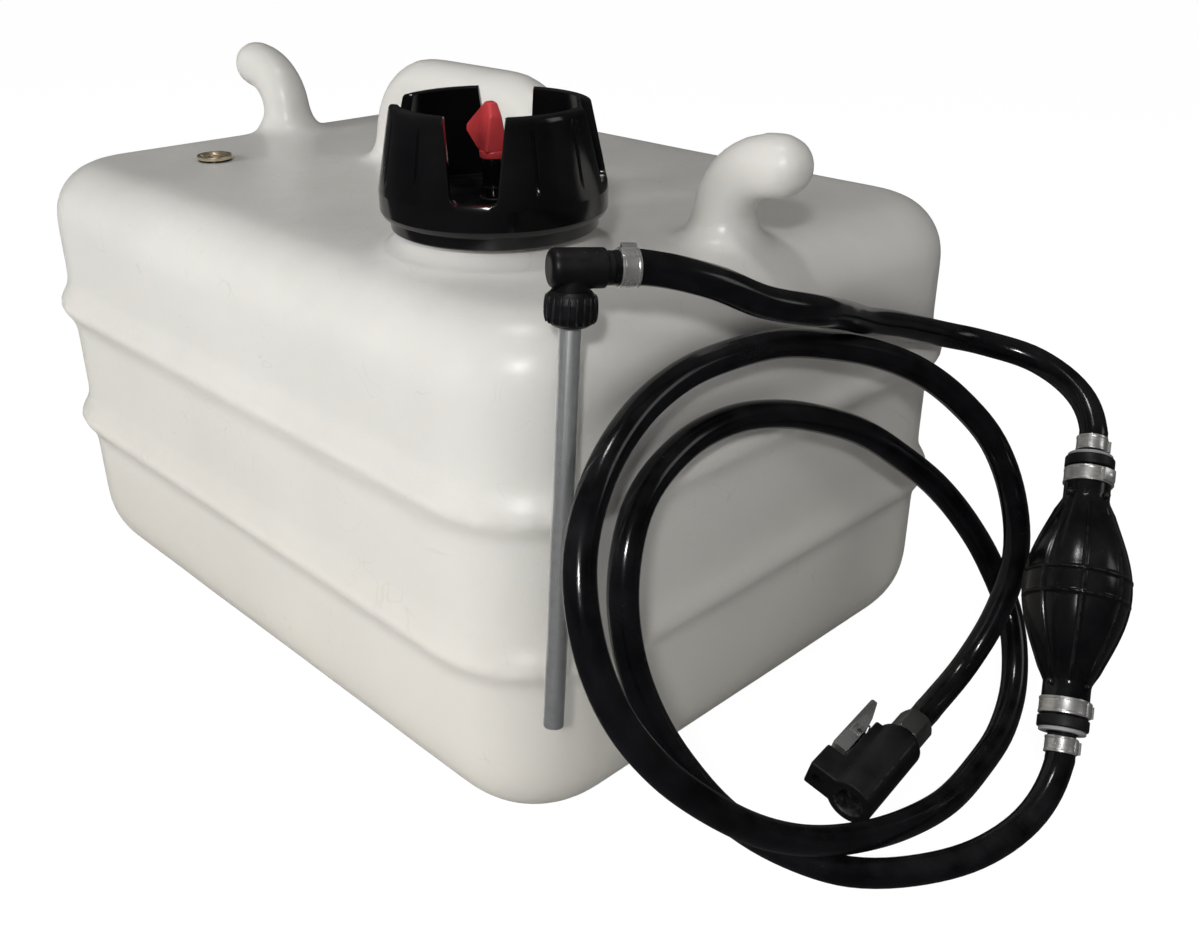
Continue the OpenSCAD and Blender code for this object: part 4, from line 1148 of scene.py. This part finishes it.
def band_clamp(name, inner, matrix, node, ear_turn, thickness, plate=False):
    """A steel band with rolled edges, an overlapping tail and a crimped ear or a buckle plate."""
    outer, width = inner + thickness, CLAMP_W
    profile = [(inner, 0.0), (outer, 0.0), (outer, 0.9), (outer - 0.18, 1.3), (outer - 0.18, width - 1.3)]
    profile += [(outer, width - 0.9), (outer, width), (inner, width)]
    parts = [turned(name, profile, 0.25, 96)]
    rings = []
    for k in range(17):
        a = math.radians(ear_turn + 8 + 42 * k / 16)
        r = outer + 0.40 - 0.18 * max(k - 14, 0)
        corners = ((outer - 0.2, 0.5), (r, 0.5), (r, width - 0.5), (outer - 0.2, width - 0.5))
        rings.append([Vector((q * math.cos(a), q * math.sin(a), z)) for q, z in corners])
    parts.append(skin("Tail", rings))
    if plate:
        corners = [(-3.6, 0.4), (3.6, 0.4), (3.6, width - 0.4), (-3.6, width - 0.4)]
        box = eased(prism("Plate", rounded(corners, 0.8, closed=True), 0, 1.5), 0.22, 2, 30)
        rivet = lathe("Rivet", rounded([(0, 1.3), (1.5, 1.3), (1.3, 1.8), (0, 1.95)], [0, 0.2, 0.3, 0]), 24)
        moved(rivet, shift(1.2, width / 2))
        outwards = Matrix(((0, 0, 1, 0), (1, 0, 0, 0), (0, 1, 0, 0), (0, 0, 0, 1)))
        parts += [moved(part, spin(ear_turn) @ shift(outer - 0.15) @ outwards) for part in (box, rivet)]
    else:
        arch = [(-3.0, -0.3), (-1.5, 0.1), (-1.7, 1.5), (1.7, 1.5), (1.5, 0.1), (3.0, -0.3)]
        under = [(2.0, -0.5), (0.8, 0.2), (1.0, 0.9), (-1.0, 0.9), (-0.8, 0.2), (-2.0, -0.5)]
        outline = rounded(arch, [0, 0.5, 0.7, 0.7, 0.5, 0], steps=4)
        outline += rounded(under, [0, 0.4, 0.4, 0.4, 0.4, 0], steps=4)
        ear = prism("Ear", outline, 0.9, width - 0.9)
        parts.append(moved(ear, spin(ear_turn) @ shift(outer) @ spin(-90)))
    placed(joined(name, *parts), matrix, "clamp_steel", "tank", node, crease=30)


class FUELTANK_OT_clamps(bpy.types.Operator):
    """Steel bands on the hoses and on the bulb's necks"""

    bl_idname = "fueltank.clamps"
    bl_label = "Clamps"

    def execute(self, context):
        thick = context.scene.fuel_tank_kit.band_t / MM
        for name, radius, piece, height, node, turn, plate in (
            ("elbow_band", HOSE_R, ON_ELBOW, 16, "elbow_clamp", 180, False),
            ("inlet_hose_band", HOSE_R, ON_BULB, 66.5, "inlet_hose_clamp", -80, False),
            ("outlet_hose_band", HOSE_R, ON_OUTLET, 66.5, "outlet_hose_clamp", 77, False),
            ("inlet_neck_band", BULB_NECK_R, ON_BULB, 50, "inlet_bulb_clamp", -138, True),
            ("outlet_neck_band", BULB_NECK_R, ON_OUTLET, 50, "outlet_bulb_clamp", 77, False),
        ):
            band_clamp(name, radius, piece @ shift(z=height), node, turn, thick, plate)
        return {"FINISHED"}


def bulb_skin(ribs):
    """The bulb's rubber: ridges along it and two round its middle."""
    reach, half, ridge, ridge_half = 43.0, RUBBER_HALF, 1.15, 0.75
    around = ribs * 26
    end = half - 0.5
    heights = [-half] + [-end + (end - reach) * k / 8 for k in range(8)]
    heights += [-reach + 2 * reach * k / 150 for k in range(151)]
    heights += [-h for h in reversed(heights[:9])]
    rings = []
    for z in heights:
        t = min(abs(z) / reach, 1.0)
        girth = BULB_NECK_R + BULB_RISE * ((1 + math.cos(math.pi * t)) / 2) ** 0.6
        if abs(z) >= half - 0.1:
            girth -= 0.4
        middle = max(math.exp(-(((z - s * 5.5) / ridge_half) ** 4)) for s in (-1, 1))
        fade = min(1.0, max(0.0, (reach - abs(z)) / 6.0))
        ring = []
        for k in range(around):
            nearest = (k * ribs / around + 0.5) % 1.0 - 0.5
            off = nearest * 2 * math.pi / ribs * girth
            r = girth + ridge * max(middle, math.exp(-((off / ridge_half) ** 4)) * fade)
            ring.append(Vector((*on_circle(r, k, around), z)))
        rings.append(ring)
    return skin("Rubber", rings)


class FUELTANK_OT_bulb(bpy.types.Operator):
    """Primer bulb with its ridges and nubs, and the two check valves"""

    bl_idname = "fueltank.bulb"
    bl_label = "Primer Bulb"

    def execute(self, context):
        parts = [bulb_skin(context.scene.fuel_tank_kit.bulb_ribs)]
        for z in (-44, 44):
            nubs = with_tree("Nubs", TREES["ring"], "bulb_rubber", Count=4, Radius=11.0, Size=(3.6, 3.0, 3.4))
            parts.append(moved(nubs, shift(z=z) @ spin(45)))
        bulb = joined("bulb_rubber_body", *parts)
        placed(bulb, ON_BULB, "bulb_rubber", "tank", "primer_bulb", crease=60)

        line = [(2.0, 44), (7.7, 44), (7.7, 58), (FLANGE_R, 58), (FLANGE_R, 63), (6.7, 63), (6.7, BULB_HALF)]
        line += [(BARB_BORE_R, BULB_HALF), (BARB_BORE_R, 74), (2.6, 75), (2.0, 75)]
        thick = 1.6
        for side, matrix, low in (("inlet", ON_BULB, 47.7), ("outlet", ON_OUTLET, 45.2)):
            body = turned(side + "_valve_flange", line, [0, 0.3, 0, 0.6, 0.8, 0, 0.2, 0, 0.2, 0.2, 0], 96)
            placed(body, matrix, "fitting_plastic", "tank", side + "_valve_body")
            ring = turned(side + "_valve_collar", tube_profile(COLLAR_R, 6.7, 63, 64.6), 0.4, 96)
            placed(ring, matrix, "ring_plastic", "tank", side + "_valve_ring")
            flat = rounded([(0, low), (4.8, low), (4.8, low + thick), (0, low + thick)], [0, 0.3, 0.3, 0])
            disc = lathe(side + "_valve_flap", flat, 48)
            placed(disc, matrix, "ring_plastic", side + "_disc", side + "_valve_disc")
        return {"FINISHED"}


class FUELTANK_OT_connector(bpy.types.Operator):
    """Engine connector: body, hexagon nut and plunger"""

    bl_idname = "fueltank.connector"
    bl_label = "Engine Connector"

    def execute(self, context):
        line = [(0, 0), (BARREL_R, 0), (BARREL_R, BARREL_L), (8, BARREL_L), (8, HEX_LOW), (0, HEX_LOW)]
        parts = [lathe("Barrel", rounded(line, [0, 0.7, 1.8, 0.3, 0.3, 0]), 72)]
        for name, low, high, edge in (
            ("Housing", (0, -HOUSING_W, 0.05), (HOUSING_R, HOUSING_W, 15), 1.0),
            ("Bed", (0, -HOUSING_W, 0.05), (BED_R, HOUSING_W, 43), 0.9),
            ("Post", (0, -3.6, 30), (17.8, 3.6, 36), 0.8),
        ):
            parts.append(eased(block(name, low, high), edge, 3, 30))
        body = fused(joined("connector_moulding", *parts), 0.36, 3)
        bored(
            body,
            lathe("Mouth", [(0, -1), (7.3, -1), (7.3, 0.0), (SOCKET_R, 0.8), (SOCKET_R, 20), (0, 20)]),
            rod("Groove", 7.7, 6, 8.4, 64),
            rod("Well", WELL_R, 18, WELL_END, 48),
            moved(rod("Locator", 2.2, -1, 11), shift(17)),
            moved(rod("Pin Way", PIN_R, -14, 14), shift(*PIVOT) @ spin(90, "X")),
        )
        placed(body, ON_CONNECTOR, "fitting_plastic", "tank", "connector_body", crease=50)

        hexagon = prism("Hexagon", [on_circle(HEX_R, k, 6) for k in range(6)], HEX_LOW, HEX_HIGH)
        line = [(0, 48.9), (7.4, 48.9), (8.5, 50.2), (8.5, 61.8), (7.4, 63.1), (0, 63.1)]
        eased(bored(hexagon, lathe("Cone", line, 96), mode="INTERSECT"), 0.25, 2, 25)
        barb = turned("Barb", [(2, 62), (BARB_BORE_R, 62), (BARB_BORE_R, 72), (2.6, 73), (2, 73)], 0.2, 48)
        nut = joined("connector_hexagon", hexagon, barb)
        placed(nut, ON_CONNECTOR, "nut_steel", "tank", "connector_nut", crease=25)

        line = [(0, 20.3), (3.14, 20.3), (3.14, 26.3), (1.8, 26.3), (1.8, 34), (0, 34)]
        plunger = lathe("connector_valve_pin", rounded(line, [0, 0.8, 0.3, 0, 0.3, 0]), 48)
        placed(plunger, ON_CONNECTOR, "nut_steel", "plunger", "connector_plunger")
        return {"FINISHED"}


class FUELTANK_OT_latch(bpy.types.Operator):
    """Chromed latch lever and its pin"""

    bl_idname = "fueltank.latch"
    bl_label = "Latch"

    def execute(self, context):
        on_pivot = shift(*PIVOT) @ spin(90, "X")
        outline = [(14.2, 19), (21.5, 19), (21.5, 54), (18.5, 54), (15.3, 44), (14.2, 38)]
        outline = rounded(outline, [0.6, 0.7, 1.2, 1.2, 3.0, 1.5], steps=4, closed=True)
        channel = prism("Channel", outline, -5, 5, spin(90, "X"))
        inside = block("Inside", (10, -3.8, 20.2), (20.3, 3.8, 60))
        eye = moved(rod("Eye", 1.35, -12, 12), on_pivot)
        parts = [eased(bored(channel, inside, eye), 0.28)]
        # a rib along the top, and a raised square on each side round the pin
        for name, low, high, edge, segments in (
            ("Rib", (21.35, -1.6, 24), (21.5, 1.6, 48), 0.07, 2),
            ("Boss", (14.6, -5.3, 30.6), (19.6, -4.9, 36.4), 0.3, 3),
            ("Boss", (14.6, 4.9, 30.6), (19.6, 5.3, 36.4), 0.3, 3),
        ):
            parts.append(eased(block(name, low, high), edge, segments, 30))
        latch = joined("latch_lever", *parts)
        placed(latch, ON_CONNECTOR, "latch_chrome", "latch", "connector_latch", crease=30)
        line = rounded([(0, -5.6), (PIN_R, -5.6), (PIN_R, 5.6), (0, 5.6)], [0, 0.3, 0.3, 0])
        placed(moved(lathe("latch_pivot", line, 32), on_pivot), ON_CONNECTOR, "nut_steel", "tank", "latch_pin")
        return {"FINISHED"}


class FUELTANK_OT_springs(bpy.types.Operator):
    """Coil springs of the latch and the plunger"""

    bl_idname = "fueltank.springs"
    bl_label = "Springs"

    def execute(self, context):
        kit = context.scene.fuel_tank_kit
        for name, radius, height, turns, wire, matrix, node, joint, axis, anchor, keep in (
            ("plunger_coil", 2.5, 10.7, kit.plunger_coils, 0.42, shift(z=26.8), "plunger_spring", "plunger_press",
             (0, 0, 1), (0, 0, WELL_END), 0.74),
            ("latch_coil", 2.0, 6.2, kit.latch_coils, 0.35, shift(13.4, 0, 41) @ spin(90, "Y"), "latch_spring",
             "latch_press", (1, 0, 0), (BED_R, 0, 41), 0.72),
        ):
            coil = with_tree(
                name, TREES["coil"], "nut_steel", Radius=radius, Height=height, Turns=turns, Wire_radius=wire
            )
            placed(moved(coil, matrix), ON_CONNECTOR, "nut_steel", "tank", node)
            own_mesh(coil)
        return {"FINISHED"}


OPERATORS = (
    FUELTANK_OT_stage,
    FUELTANK_OT_hoses,
    FUELTANK_OT_tank,
    FUELTANK_OT_insert,
    FUELTANK_OT_seals,
    FUELTANK_OT_cap,
    FUELTANK_OT_vent,
    FUELTANK_OT_pickup,
    FUELTANK_OT_clamps,
    FUELTANK_OT_bulb,
    FUELTANK_OT_connector,
    FUELTANK_OT_latch,
    FUELTANK_OT_springs,
)


class FUELTANK_PT_panel(bpy.types.Panel):
    """Sizes, finishes and pieces of the fuel tank"""

    bl_idname = "FUELTANK_PT_panel"
    bl_label = "Outboard Fuel Tank"
    bl_space_type = "VIEW_3D"
    bl_region_type = "UI"
    bl_category = "Fuel Tank"

    def draw(self, context):
        layout = self.layout
        for group in (context.scene.fuel_tank_sizes, context.scene.fuel_tank_kit, context.scene.fuel_tank_finishes):
            box = layout.box()
            for name in group.bl_rna.properties.keys():
                if name not in ("rna_type", "name"):
                    box.prop(group, name)
        for operator in OPERATORS:
            layout.operator(operator.bl_idname)


GROUP_CLASSES = (TankSizes, KitSizes, FinishSettings)


def register():
    for cls in GROUP_CLASSES + OPERATORS + (FUELTANK_PT_panel,):
        bpy.utils.register_class(cls)
    bpy.types.Scene.fuel_tank_sizes = PointerProperty(type=TankSizes)
    bpy.types.Scene.fuel_tank_kit = PointerProperty(type=KitSizes)
    bpy.types.Scene.fuel_tank_finishes = PointerProperty(type=FinishSettings)


def unregister():
    del bpy.types.Scene.fuel_tank_finishes
    del bpy.types.Scene.fuel_tank_kit
    del bpy.types.Scene.fuel_tank_sizes
    for cls in reversed(GROUP_CLASSES + OPERATORS + (FUELTANK_PT_panel,)):
        bpy.utils.unregister_class(cls)


def main():
    register()
    for operator in OPERATORS:
        group, name = operator.bl_idname.split(".")
        if getattr(getattr(bpy.ops, group), name)() != {"FINISHED"}:
            raise RuntimeError(operator.bl_label + " didn't finish")


if __name__ == "__main__":
    main()
